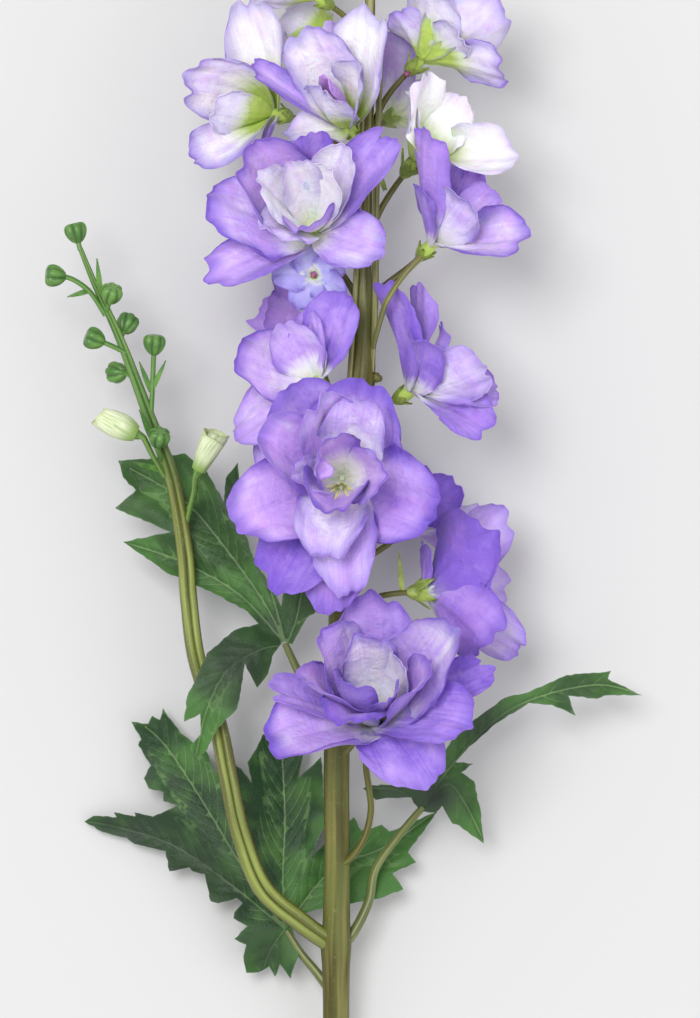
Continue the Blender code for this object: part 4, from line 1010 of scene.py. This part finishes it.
# The flowers: soft cloth petals pressed to shape, each cut out with a slightly frayed edge and glued on the
# green cup one over the other. Dye fades from a violet rim to a pale heart.
# Petal: tip (across, down, height), width, rise, cup, ruffle, roll, then how violet it is, how far its pale
# heart reaches, and how strong its dark rim, pink tint and green foot are.
# Flowers: limits of their height, slot, petals.
Petal = namedtuple("Petal", "tip width rise cup ruffle roll tone pale rim pink green",
                   defaults=(0, 0.5, 0.4, 0.4, 0.0, 0.35))
FLOWERS = {
    "bloom_front": ((61, 110), "petal_violet", [
        ((284, 388, 71), 31, 3, 0.1, 1.3, 0, 0.66, 0.15, 0.8),
        ((368, 385, 72), 32, 3, 0.1, 1.4, 0, 0.75, 0.2, 0.9),
        ((434, 518, 73), 31, 3, 0.08, 1.5, 0, 0.64, 0.35, 1.0, 0.1),
        ((334, 611, 69), 25, 3, 0.12, 1.0, 0, 0.8, 0.3, 0.6),
        ((272, 589, 69), 26, 3, 0.12, 1.0, 0, 0.9, 0.2, 0.5),
        ((237, 522, 82), 29, 7, 0.12, 1.3, 0, 0.45, 0.4, 0.8, 0.5),
        ((263, 431, 84), 23, 8, 0.16, 1.4, 0, 0.5, 0.35, 0.7, 0.5),
        ((321, 398, 87), 22, 8, 0.16, 1.4, 0, 0.45, 0.45, 0.5, 0.1),
        ((360, 401, 86), 21, 9, 0.18, 1.3, 0, 0.32, 0.6, 0.5),
        ((324, 554, 84.5), 22, 9, 0.16, 1.1, 0, 0.3, 0.6, 0.6),
        ((345, 592, 78), 21, 6, 0.14, 1.2, 0, 0.42, 0.5, 0.6),
        ((318, 444, 92), 19, 14, 0.3, 1.0, 0, 0.5, 0.5, 0.8, 0.7),
        ((382, 474, 92), 18, 14, 0.28, 0.9, 0, 0.38, 0.58, 0.7, 0.4),
        ((330, 510, 92), 20, 14, 0.32, 1.1, 0, 0.55, 0.45, 0.9, 0.5),
        ((298, 478, 86), 13, 12, 0.25, 0.6, 0, 0.35, 0.6, 0.5, 0.4),
    ]),
    "bloom_low": ((44, 100), "petal_violet", [
        ((366, 592, 62), 28, 9, 0.1, 1.3, 0, 0.58, 0.2, 0.7),
        ((328, 628, 76), 25, 12, 0.12, 1.5, 0, 0.38, 0.45, 0.8, 0.2),
        ((450, 628, 80), 28, 12, 0.12, 1.3, 0, 0.3, 0.5, 0.8),
        ((491, 668, 62), 15, 9, 0.1, 1.0, 0, 0.8, 0.2, 0.4),
        ((400, 652, 74), 15, 13, 0.1, 1.4, 0, 0.0, 0.95, 0.5, 0.3),
        ((371, 640, 76), 18, 15, 0.05, 1.6, 0, 0.12, 0.85, 0.8, 0.5),
        ((420, 664, 84), 20, 13, 0.18, 1.4, -10, 0.5, 0.45, 0.8, 0.4),
        ((302, 678, 82), 20, 16, 0.25, 0.8, 0, 0.45, 0.35, 0.6, 0.6),
        ((268, 688, 70), 14, 10, 0.15, 1.0, 0, 0.6, 0.3, 0.5),
        ((270, 740, 72), 30, 12, 0.14, 1.8, 0, 0.42, 0.45, 1.0, 0.3),
        ((467, 718, 80), 22, 16, 0.15, 1.3, 0, 0.75, 0.35, 0.7),
        ((428, 784, 68), 26, 14, 0.12, 1.2, 0, 0.75, 0.35, 0.5),
        ((338, 714, 87), 19, 20, 0.22, 1.1, 0, 0.85, 0.2, 1.0, 0.3),
        ((342, 676, 84), 16, 12, 0.2, 1.0, 0, 0.62, 0.45, 0.8),
        ((394, 692, 82), 12, 16, 0.25, 1.0, 0, 0.5, 0.5, 0.8, 0.8),
    ]),
    "bloom_left_upper": ((61, 110), "petal_lilac", [
        ((210, 203, 76), 28, 6, 0.1, 1.6, 0, 0.42, 0.4, 1.0),
        ((208, 279, 71), 17, 4, 0.12, 1.3, 0, 0.5, 0.3, 0.7, 0.2),
        ((312, 139, 76), 19, 6, 0.12, 1.0, 0, 0.8, 0.2, 0.4),
        ((391, 140, 84), 16, 10, 0.3, 1.0, 0, 0.65, 0.3, 0.6),
        ((384, 254, 78), 19, 7, 0.1, 1.3, 0, 0.36, 0.2, 0.7),
        ((247, 156, 86), 26, 10, 0.15, 1.4, 0, 0.42, 0.4, 0.8, 0.6),
        ((344, 152, 88), 15, 12, 0.15, 0.8, 0, 0.12, 0.8, 0.3),
        ((262, 184, 91), 17, 14, 0.2, 0.8, 0, 0.15, 0.75, 0.3),
        ((332, 172, 94), 15, 16, 0.2, 0.8, 0, 0.06, 0.9, 0.3),
        ((296, 172, 94), 13, 16, 0.2, 0.8, 0, 0.1, 0.85, 0.4, 0.2),
        ((304, 232, 87), 18, 15, 0.3, 0.9, 0, 0.4, 0.45, 0.7, 0.2, 0.8),
        ((268, 232, 86), 17, 12, 0.18, 0.8, 0, 0.25, 0.6, 0.4),
    ]),
    "bloom_left_mid": ((49, 66.5), "petal_lilac", [
        ((235, 356, 63), 27, 6, 0.1, 1.1, 0, 0.38, 0.4, 0.9, 0.4),
        ((284, 322, 65), 18, 7, 0.15, 0.8, 0, 0.38, 0.4, 0.5, 0.2),
        ((310, 312, 66), 13, 7, 0.15, 0.6, 0, 0.5, 0.3, 0.5, 0.2),
        ((346, 294, 66), 18, 6, 0.25, 0.8, 25, 0.72, 0.3, 0.6),
        ((238, 440, 57), 25, 4, 0.1, 1.0, 0, 0.38, 0.3, 0.4, 0.1),
        ((266, 476, 54), 16, 2, 0.1, 1.0, 0, 0.4, 0.3, 0.4),
    ]),
    "bloom_right_mid": ((26, 80), "petal_violet", [
        ((384, 284, 62), 18, 5, 0.2, 1.1, 50, 0.85, 0.2, 0.7),
        ((414, 285, 50), 16, 8, 0.2, 0.8, 45, 0.5, 0.3, 0.4, 0.2),
        ((420, 336, 70), 18, 9, 0.2, 1.2, 35, 0.72, 0.3, 0.7),
        ((446, 326, 54), 16, 10, 0.2, 0.8, 25, 0.52, 0.3, 0.5),
        ((484, 366, 68), 20, 12, 0.15, 1.2, -25, 0.25, 0.6, 0.4, 0.3),
        ((499, 394, 54), 15, 12, 0.15, 1.0, 30, 0.45, 0.4, 0.5),
        ((488, 426, 62), 20, 9, 0.15, 1.2, 50, 0.68, 0.4, 0.6),
        ((458, 392, 30), 18, 9, 0.15, 0.8, 0, 0.6, 0.3, 0.4),
    ]),
    "bloom_right_low": ((18, 66), "petal_violet", [
        ((480, 524, 60), 27, 7, 0.15, 1.2, 32, 0.96, 0.05, 0.7),
        ((486, 644, 60), 24, 7, 0.15, 1.2, -50, 0.72, 0.18, 0.8, 0.4),
        ((508, 512, 36), 20, 8, 0.15, 1.0, 45, 0.35, 0.4, 0.5),
        ((522, 652, 38), 21, 9, 0.15, 1.0, -50, 0.32, 0.4, 0.6),
        ((510, 585, 22), 22, 8, 0.15, 0.9, -10, 0.38, 0.3, 0.4),
        ((424, 541, 42), 8, 2, 0.1, 0.5, 0, 0.75, 0.2, 0.4),
    ]),
    "bloom_right_upper": ((26, 80), "petal_lilac", [
        ((422, 134, 70), 15, 8, 0.25, 0.7, 50, 0.52, 0.3, 0.6, 0.5),
        ((418, 188, 68), 11, 6, 0.15, 0.8, 30, 0.62, 0.3, 0.8),
        ((470, 157, 46), 19, 10, 0.15, 1.1, -28, 0.8, 0.2, 0.4),
        ((496, 192, 54), 13, 14, 0.15, 0.7, 0, 0.5, 0.4, 0.4),
        ((462, 200, 69), 20, 12, 0.2, 1.2, 14, 0.2, 0.62, 0.6, 0.1),
        ((525, 238, 66), 21, 10, 0.2, 1.5, 50, 0.34, 0.5, 0.8, 0.2),
        ((486, 216, 30), 18, 9, 0.15, 0.9, 0, 0.5, 0.3, 0.4),
    ]),
    "bloom_upper_mid": ((58, 96), "petal_white", [
        ((251, 70, 74), 10, 9, 0.35, 0.9, 0, 0.42, 0.4, 0.8, 0.0, 0.4),
        ((306, 38, 80), 21, 10, 0.12, 1.5, 0, 0.12, 0.7, 0.6, 0.2, 0.8),
        ((366, 16, 76), 21, 8, 0.15, 1.4, 0, 0.08, 0.85, 0.5, 0.0, 1.4),
        ((286, 138, 66), 19, 5, 0.12, 1.4, 0, 0.08, 0.85, 0.6, 0.1, 0.9),
        ((320, 92, 80), 19, 10, 0.25, 1.3, 0, 0.02, 0.9, 0.5, 0.0, 1.8),
        ((324, 84, 81), 7, 10, 0.4, 0.6, 0, 0.25, 0.3, 0.1, 1.6, 0.1),
        ((354, 74, 84), 19, 10, 0.15, 1.3, 0, 0.02, 0.9, 0.6, 0.0, 1.8),
        ((334, 26, 66), 15, 6, 0.12, 0.8, 0, 0.3, 0.6, 0.4, 0.0, 0.2),
    ]),
    "bloom_upper_left": ((24, 64), "petal_white", [
        ((181, 80, 58), 22, 8, 0.15, 1.3, 25, 0.16, 0.8, 0.6, 0.1, 1.8),
        ((192, 160, 57), 19, 8, 0.15, 1.2, -55, 0.22, 0.78, 0.7, 0.0, 1.8),
        ((248, 0, 52), 22, 4, 0.15, 1.2, 40, 0.12, 0.85, 0.5, 0.0, 1.8),
        ((262, 160, 52), 8, 2, 0.15, 0.5, 0, 0.6, 0.4, 0.5, 0.0, 0.4),
        ((212, 112, 60), 15, 11, 0.2, 1.2, 25, 0.0, 0.9, 0.2, 0.0, 2.0),
        ((214, 58, 30), 18, 6, 0.15, 0.9, 0, 0.3, 0.6, 0.4, 0.0, 0.8),
    ]),
    "bloom_upper_right": ((26, 74), "petal_white", [
        ((412, 90, 56), 16, 5, 0.25, 0.8, 0, 0.0, 0.9, 0.0, 0.0, 2.2),
        ((434, 76, 60), 26, 6, 0.15, 0.9, -45, 0.0, 0.9, 0.1, 0.0, 2.2),
        ((515, 156, 58), 21, 8, 0.2, 1.5, 48, 0.02, 0.9, 0.3, 0.0, 2.0),
        ((462, 96, 48), 18, 8, 0.2, 0.8, -20, 0.0, 0.9, 0.1, 0.0, 1.8),
        ((474, 112, 32), 16, 6, 0.15, 0.8, 0, 0.0, 0.9, 0.1, 0.0, 0.9),
    ]),
    "bloom_top_right": ((22, 70), "petal_white", [
        ((393, 14, 50), 17, 5, 0.2, 1.1, 50, 0.22, 0.65, 0.5, 0.0, 1.6),
        ((436, -12, 58), 23, 7, 0.2, 1.2, 32, 0.04, 0.85, 0.4, 0.0, 2.4),
        ((502, 6, 56), 25, 8, 0.15, 1.4, -30, 0.1, 0.78, 0.5, 0.1, 2.2),
        ((507, 77, 56), 19, 8, 0.15, 1.4, -60, 0.12, 0.78, 0.6, 0.1, 2.2),
        ((462, 40, 62), 15, 8, 0.2, 0.9, -25, 0.05, 0.85, 0.4, 0.0, 2.2),
        ((470, 20, 28), 16, 6, 0.15, 0.8, 0, 0.3, 0.7, 0.3, 0.0, 1.0),
    ]),
    "bloom_top_left": ((34, 72), "petal_white", [
        ((248, -14, 62), 13, 6, 0.2, 0.8, 30, 0.0, 0.8, 0.1, 0.0, 1.6),
        ((268, -66, 60), 16, 8, 0.2, 0.9, 40, 0.05, 0.8, 0.1, 0.0, 1.6),
        ((318, -74, 52), 14, 5, 0.2, 0.8, 50, 0.05, 0.8, 0.1, 0.0, 1.6),
        ((262, -44, 38), 14, 6, 0.15, 0.8, 0, 0.05, 0.8, 0.1, 0.0, 1.6),
    ]),
    "floret_small": ((52, 62), "petal_lilac", [
        (tip, width, 4, 0.1, 0.4, 0, 0.32, 0.25, 0.6, -0.55)
        for tip, width in (((302, 240, 58), 11), ((273, 274, 60), 11), ((300, 312, 60), 11),
                           ((343, 302, 60), 11), ((345, 262, 60), 10))
    ]),
    "bloom_back_left": ((0, 46), "petal_violet", [
        ((280, 246, 36), 16, 5, 0.15, 0.9, 0, 0.6, 0.2, 0.4, 0.6),
        ((264, 310, 40), 17, 5, 0.15, 0.9, 0, 0.6, 0.2, 0.4, 0.7),
        ((304, 256, 4), 18, 6, 0.15, 0.9, 0, 0.6, 0.2, 0.4, 0.4),
        ((258, 302, -20), 19, 8, 0.15, 0.9, 0, 0.6, 0.2, 0.4, 0.6),
        ((312, 372, 5), 18, 6, 0.15, 0.9, 0, 0.6, 0.2, 0.4, 0.4),
    ]),
    "bloom_back_right": ((0, 40), "petal_violet", [
        ((457, 479, 35), 16, 5, 0.15, 0.8, 0, 0.9, 0.1, 0.6),
        ((420, 464, 28), 15, 5, 0.15, 0.8, 0, 0.9, 0.1, 0.5),
        ((452, 556, 6), 18, 6, 0.15, 0.9, 0, 0.6, 0.3, 0.4),
        ((478, 508, 8), 18, 8, 0.15, 0.9, 0, 0.15, 0.8, 0.4),
        ((432, 479, -19), 19, 7, 0.15, 0.9, 0, 0.75, 0.2, 0.4),
    ]),
    "bloom_back_upper_left": ((8, 44), "petal_white", [
        ((280, 14, 38), 20, 5, 0.15, 0.7, -12, 0.0, 0.8, 0.1, 0.0, 2.2),
        ((300, -8, 34), 21, 5, 0.15, 0.8, -50, 0.0, 0.8, 0.1, 0.0, 2.4),
        ((284, 46, 18), 14, 6, 0.15, 0.8, 0, 0.2, 0.6, 0.2, 0.0, 0.8),
        ((306, 80, 24), 13, 5, 0.15, 0.8, 0, 0.25, 0.6, 0.2, 0.0, 0.8),
    ]),
    "bloom_back_upper_right": ((6, 42), "petal_white", [
        ((394, 28, 30), 14, 5, 0.15, 0.8, 0, 0.4, 0.5, 0.4, 0.0, 0.6),
        ((446, 92, 26), 15, 5, 0.15, 0.8, 0, 0.15, 0.7, 0.2, 0.0, 0.8),
        ((372, 76, 14), 15, 6, 0.15, 0.8, 0, 0.3, 0.6, 0.2, 0.0, 0.6),
        ((424, 140, 12), 16, 6, 0.15, 0.8, 0, 0.2, 0.6, 0.2, 0.0, 0.8),
    ]),
}
# Young flowers over the rest: height limits, length and width of their petals, seed.
YOUNG_FLOWERS = {
    "bloom_crown_front": ((54, 90), 19.0, 15.0, 3),
    "bloom_crown_left": ((24, 66), 17.0, 13.0, 5),
    "bloom_crown_right": ((24, 66), 17.0, 13.0, 8),
}
YOUNG_PETALS = 5
CORE_RADIUS = 2.6                # also its least length
PETAL_FOOT = 1.2                 # half width of a petal's foot
PETAL_WIDEST = 0.72              # where it is widest, as a share of its length
PETAL_TIP = 0.98                 # width of its end, as a share of its width
PETAL_ROUND = 0.56               # depth of a petal's round end, as a share of its width
PETAL_ARC = 2.2                  # how square that end is: 2 for an ellipse
PETAL_LAP = 12.0                 # degrees that each petal leans over the next
PETAL_SEAT, PETAL_STEP = 1.2, 0.3   # how high up the core a petal starts: least, and more for its rise
PETAL_KNEE = 0.25                # where it bends out, as a share of its reach
PETAL_ROWS, PETAL_COLUMNS = 34, 35
CLOTH_THICKNESS = 0.35
SQUEEZE_DEPTH = 3.0
# Notches in a petal's end: depth as a share of its length, rate across it, which random turn shifts them.
NOTCHES = ((0.014, 3.4, 5), (0.012, 8, 0), (0.005, 21, 1))
SLIT_DEPTH, SLIT_WIDTH = 0.06, 0.13
# Waves of a petal's rim: depth in millimetres on a petal of WAVED_WIDTH, rates across and along it, which
# random turn shifts them.
RIM_WAVES = ((1.10, 6.0, 5.0, 3), (0.62, 13, -9.0, 4))
BILLOW_DEPTH, PUCKER_DEPTH, MIDRIB_DEPTH, FOLD_DEPTH = 0.30, 0.26, 0.75, 1.3
RIM_CURL = (-1.0, 3.0)
WAVED_WIDTH = 25


def squeezed(height, low, high):
    """Heights kept between two limits, flattening smoothly as they near them."""
    top = high - SQUEEZE_DEPTH * np.exp(-(height - high + SQUEEZE_DEPTH) / SQUEEZE_DEPTH)
    bottom = low + SQUEEZE_DEPTH * np.exp(-(low + SQUEEZE_DEPTH - height) / SQUEEZE_DEPTH)
    if low <= 0:
        bottom = np.maximum(height, 0.6 * CLOTH_THICKNESS)
    kept = np.where(height > high - SQUEEZE_DEPTH, top, height)
    return np.where(height < low + SQUEEZE_DEPTH, bottom, kept)


def petal_shape(t, width):
    """A petal's half width at shares t of its length."""
    share = np.sin(math.pi / 2 * np.clip(t / PETAL_WIDEST, 0, 1)) ** 0.62
    rising = PETAL_FOOT + (width / 2 - PETAL_FOOT) * share
    past = np.clip((t - PETAL_WIDEST) / (1 - PETAL_WIDEST), 0, 1)
    return np.where(t < PETAL_WIDEST, rising, width / 2 * (1 - (1 - PETAL_TIP) * past * past))


def petal_wave(spec, s, t, number, turns, draw):
    """How far a petal's cloth stands off its plain curve, in millimetres."""
    size = spec.width / WAVED_WIDTH
    rim = np.maximum(np.abs(s) ** 4 * np.minimum(1.6 * t, 1), t ** 7)
    wave = spec.ruffle * t * t * np.sin(1.7 * number + 2.6 * s + 1.3 * t)
    for depth, across, along, turn in RIM_WAVES:
        wave = wave + depth * size * rim * np.sin(across * s + along * t + turns[turn])
    wave = wave + BILLOW_DEPTH * size * np.sin(9 * s + turns[5]) * np.sin(math.pi * t) * (1 - 0.4 * t)
    pucker = PUCKER_DEPTH * size * np.sin(6 * s - 11 * t + turns[0])
    wave = wave + pucker * np.sin(12 * t + 5 * s + turns[1]) * t
    midrib = np.exp(-(s / 0.10) ** 2) * np.sin(math.pi * np.minimum(t * 1.05, 1)) ** 0.7
    wave = wave - MIDRIB_DEPTH * size * midrib - draw.uniform(*RIM_CURL) * size * rim ** 1.5
    fold_side, fold_depth = 0.55 * math.sin(turns[2]), FOLD_DEPTH * size * math.cos(turns[3])
    return wave + fold_depth * np.exp(-((s - fold_side) / 0.15) ** 2) * t * t


def petal(cast, foot, axis, spec, heights, number, draw):
    """Add one cloth petal: bent out over its cup, creased, ruffled and curled at its rim."""
    s = np.linspace(-1, 1, PETAL_COLUMNS)[None, :]
    t = np.linspace(0, 1, PETAL_ROWS)[:, None] ** 0.9
    end = place(spec.tip)
    outward = unit((end - foot) - axis * (end - foot).dot(axis))
    start = foot + axis * ((PETAL_SEAT + PETAL_STEP * spec.rise) * MM) + outward * (0.3 * CORE_RADIUS * MM)
    length = np.linalg.norm(end - start)
    turns = [draw.uniform(0, 2 * math.pi) for _ in range(6)]
    notch = sum(depth * np.sin(rate * s + turns[turn]) for depth, rate, turn in NOTCHES)
    notch = notch + draw.uniform(0.0, SLIT_DEPTH) * np.exp(-((s - draw.uniform(-0.4, 0.4)) / SLIT_WIDTH) ** 2)
    fall = 1 - (1 - np.abs(s) ** PETAL_ARC) ** (1 / PETAL_ARC)
    arc = np.clip(PETAL_ROUND * spec.width * MM / length, 0.22, 0.55)
    along = t * (1 - arc * fall * t - notch * t ** 5)
    bend = along[..., None]
    knee = start + axis * (spec.rise * MM) + outward * (PETAL_KNEE * length)
    centre = start * (1 - bend) ** 2 + knee * (2 * bend * (1 - bend)) + end * bend ** 2
    tangent = unit((knee - start) * (1 - bend) + (end - knee) * bend)
    angle = np.radians(PETAL_LAP + spec.roll) * bend
    base = unit(np.cross(axis, outward))
    lean = tangent * (tangent @ base)[..., None]
    across = unit(base * np.cos(angle) + np.cross(tangent, base) * np.sin(angle) + lean * (1 - np.cos(angle)))
    inner = unit(np.cross(tangent, across))
    swell = 0.06 * t * np.sin(7 * t + turns[2] + 2 * s) + 0.02 * np.sin(19 * t + turns[4])
    half = petal_shape(t, 1.06 * spec.width) * (1 + swell)
    wave = petal_wave(spec, s, t, number, turns, draw)
    grid = centre + across * (s * half * MM)[..., None]
    grid = grid + inner * (((spec.cup + 0.05) * half * 2 * s * s + wave) * MM)[..., None]
    grid[..., 2] = squeezed(grid[..., 2] / MM, *heights) * MM
    edge = np.minimum((1 - np.abs(s)) * half, (1 - t) * length / MM)
    shell(cast, grid, CLOTH_THICKNESS, around(PETAL_COLUMNS - 1), t[:, 0], inner, edge=edge, tone=spec.tone,
          pale=spec.pale, rim=spec.rim, pink=spec.pink, green=spec.green, seed=draw.uniform(0, 60))


WHITE, LILAC, VIOLET = (0.84, 0.83, 0.86), (0.545, 0.375, 0.825), (0.215, 0.105, 0.60)
PINK, BLUE, HEART, LIME = (0.56, 0.27, 0.74), (0.40, 0.46, 0.88), (0.90, 0.885, 0.90), (0.42, 0.56, 0.10)
EDGE_GLOW, RIM_DYE, BACK_DYE = (0.155, 0.075, 0.52), (0.15, 0.065, 0.44), (0.26, 0.15, 0.62)


def petal_cloth(name):
    """Dyed cloth: a pale heart, violet towards the edge, finely streaked, with a dark rim."""
    cloth = Finish(name, 0.7, Sheen_Weight=0.10, Subsurface_Weight=0.25, Subsurface_Scale=0.0006)
    _, v = cloth.uv()
    seed, edge, pale, pink, green, strong = [
        cloth.value(key) for key in ("seed", "edge", "pale", "pink", "green", "rim")]
    streak = cloth.streaks(16.0, 2.5, seed, 5.0)
    patch = cloth.streaks(2.4, 2.4, seed + 40.0)
    blot = cloth.grain(330.0, 5.0, 0.6)
    weave = cloth.grain(2400.0, 2.0)
    vein = cloth.streaks(26.0, 1.6, seed + 20.0, 2.0).step(0.52, 0.70)
    tone = cloth.value("tone") + (patch - 0.5) * 0.85 + (streak - 0.5) * 0.20
    tone = tone + (blot - 0.5) * 0.30 + vein * 0.08
    light = cloth.mix(tone.step(0.0, 0.5), WHITE, LILAC)
    body = cloth.mix(tone.step(0.42, 1.0), light, VIOLET)
    blush = cloth.streaks(2.0, 2.6, seed + 9.0).step(0.48, 0.72) * v.step(0.3, 0.8)
    pinker = cloth.mix(pink * 0.5 + blush * 0.30, body, PINK)
    bluer = cloth.mix(0.0 - pink, pinker, BLUE)
    heart = 1.0 - (v + (streak - 0.5) * 0.25 + (patch - 0.5) * 0.35).step(pale * 0.5, pale * 1.2 + 0.06)
    hearted = cloth.mix(heart * 0.92, bluer, HEART)
    foot = (1.0 - (v + (streak - 0.5) * 0.2).step(0.02, green * 0.22 + 0.30)) * green
    footed = cloth.mix(foot, hearted, LIME)
    ragged = edge + (patch - 0.5) * 7.0 + (blot - 0.5) * 2.5
    glow = (1.0 - ragged.step(-0.5, 5.5)) * strong * v.step(0.25, 0.6)
    deeper = cloth.mix(glow, footed, EDGE_GLOW)
    rim = (1.0 - (edge + (blot - 0.5) * 1.2).step(0.10, 1.20)) * strong * patch.step(0.36, 0.60)
    rimmed = cloth.mix(rim * 0.95, deeper, RIM_DYE)
    backed = cloth.mix(cloth.value("back") * (1.0 - foot.step(0.0, 0.7)) * 0.25, rimmed, BACK_DYE)
    crease = abs(cloth.grain(150.0, 3.0, 0.5) - 0.5)
    cloth.bump(weave * 0.2 + streak * 0.4 + blot * 0.8 + crease * 1.8, 0.7, 0.0009)
    return cloth.paint(backed, blot * 0.3 + 0.5)


# Folded scraps of cloth that stand in a flower's heart: place and radius.
KNOBS = {"bloom_front": ((324, 471, 84), 3.6)}
CLOTHS = {slot: petal_cloth(slot) for slot in ("petal_violet", "petal_lilac", "petal_white")}


CORE_STEPS = np.array([2.3, 2.2, 2.0, 1.6, 0.8])     # radii of a core, from its foot up
CORE_SIDES = 15


def flower(name, heights, slot, rows):
    """One flower of the given petals round a small core."""
    petals = [Petal(*row) for row in rows]
    foot, axis = place(SEATS[name][0]), unit(np.array(SEATS[name][1]))
    draw = random.Random(name)
    bloom = Cast()
    for number, spec in enumerate(petals):
        petal(bloom, foot, axis, spec, heights, number, draw)
    core_length = CORE_RADIUS + PETAL_STEP * max(spec.rise for spec in petals)
    core_line = foot + axis * (np.linspace(0, core_length, len(CORE_STEPS))[:, None] * MM)
    core_grid, _ = sweep(core_line, CORE_STEPS * MM, ring(CORE_SIDES, 0.06, 5))
    bloom.add(core_grid, np.zeros(len(CORE_STEPS)), edge=9.0, green=0.4 if name in KNOBS else 1.0)
    if name in KNOBS:
        spot, radius = KNOBS[name]
        bud(bloom, place(spot) - axis * (radius * MM), axis, radius, 1.8 * radius, 3, 0.2,
            tone=0.52, pink=0.4, edge=9.0)
    piece = bloom.made(name + "_petals", CLOTHS[slot], 60)
    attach(piece, "root")
    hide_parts(name)


for flower_name, flower_spec in FLOWERS.items():
    flower(flower_name, *flower_spec)
for flower_name, (flower_heights, petal_length, petal_width, seed) in YOUNG_FLOWERS.items():
    young_draw = random.Random(seed)
    young_foot, young_axis = [Vector(part) for part in (place(SEATS[flower_name][0]), SEATS[flower_name][1])]
    young_axis = young_axis.normalized()
    young_side = young_axis.orthogonal().normalized()
    ring_petals = []
    for number in range(YOUNG_PETALS):
        turn = 2 * math.pi * (number + young_draw.uniform(-0.12, 0.12)) / YOUNG_PETALS
        outward = Quaternion(young_axis, turn) @ young_side
        way = outward * young_draw.uniform(0.72, 0.82) + young_axis * young_draw.uniform(0.55, 0.7)
        end = young_foot + way * (petal_length * MM)
        tip = (end.x / MM / MM_PER_PX + ORIGIN_PX[0], ORIGIN_PX[1] - end.y / MM / MM_PER_PX, end.z / MM)
        ring_petals.append((tip, petal_width, petal_length * 0.35, 0.2, 0.8, 0, 0.15, 0.75, 0.3, 0.0, 0.8))
    flower(flower_name, flower_heights, "petal_white", ring_petals)

# The hearts of the open flowers: thin yellow-green stamens with pale heads.
STAMEN_FLOWERS = {               # how many, their length, their way
    "bloom_front": (11, 20.0, (-0.04, -0.20, 0.97)), "bloom_low": (7, 12.0, (0.0, 0.6, 0.8)),
    "bloom_left_upper": (5, 6.0, (-0.1, 0.35, 0.9)), "bloom_upper_mid": (5, 7.0, (-0.35, 0.5, 0.75)),
}
STAMEN_RADII = np.array([0.28, 0.26, 0.24, 0.24, 0.45, 0.55, 0.15])
STAMEN_HEAD = np.array([0, 0, 0, 0.3, 1, 1, 1])[:, None]
STAMEN_TURN = 2.4
STAMEN_SEAT = 3.0


def stamen_plastic():
    """Soft yellow-green plastic with paler heads."""
    heart = Finish("stamen_green", 0.5)
    return heart.paint(heart.mix(heart.value("head"), (0.50, 0.60, 0.10), (0.80, 0.82, 0.36)))


stamen_finish = stamen_plastic()
for flower_name, (stamen_count, stamen_length, stamen_axis) in STAMEN_FLOWERS.items():
    stamen_axis = unit(np.array(stamen_axis))
    stamen_side = beside(stamen_axis)
    stamen_draw = random.Random(flower_name + "_stamens")
    stamens = Cast()
    seat = place(SEATS[flower_name][0]) + stamen_axis * (STAMEN_SEAT * MM)
    t = np.linspace(0, 1, len(STAMEN_RADII))[:, None]
    for number in range(stamen_count):
        outward = turned(stamen_side, stamen_axis, STAMEN_TURN * number)
        spread = 0.05 + 0.20 * stamen_draw.random()
        reach_out = stamen_length * MM * stamen_draw.uniform(0.8, 1.0)
        line = seat + stamen_axis * (t * reach_out) + outward * (t ** 1.5 * spread * reach_out)
        stalk(stamens, line, STAMEN_RADII * MM, 8, head=STAMEN_HEAD)
    piece = stamens.made(flower_name + "_stamens", stamen_finish)
    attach(piece, "root")
    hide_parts(flower_name)

# Small maroon beads: the floret's heart, and the joints of two flowers on their cups.
maroon = Finish("bead_maroon", 0.5)
maroon_speck = maroon.grain(900.0)
maroon.paint(maroon.mix(maroon_speck.step(0.3, 0.7), (0.13, 0.02, 0.045), (0.42, 0.11, 0.28)))
BEAD_RADIUS = 1.3
for bead_name, node, slot, bead_spot in (
        ("floret_heart", "floret_small", "petal_lilac", (314, 276, 56.0)),
        ("upper_mid_joint", "main_stem", "stem_olive", (356, 141, 54.5)),
        ("top_right_joint", "main_stem", "stem_olive", (407, 74, 47.0))):
    beads = Cast()
    bud(beads, place(bead_spot), UP, BEAD_RADIUS, 1.8 * BEAD_RADIUS, 5, 0.1)
    piece = beads.made(bead_name, maroon.material)
    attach(piece, "root")
    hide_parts(node)
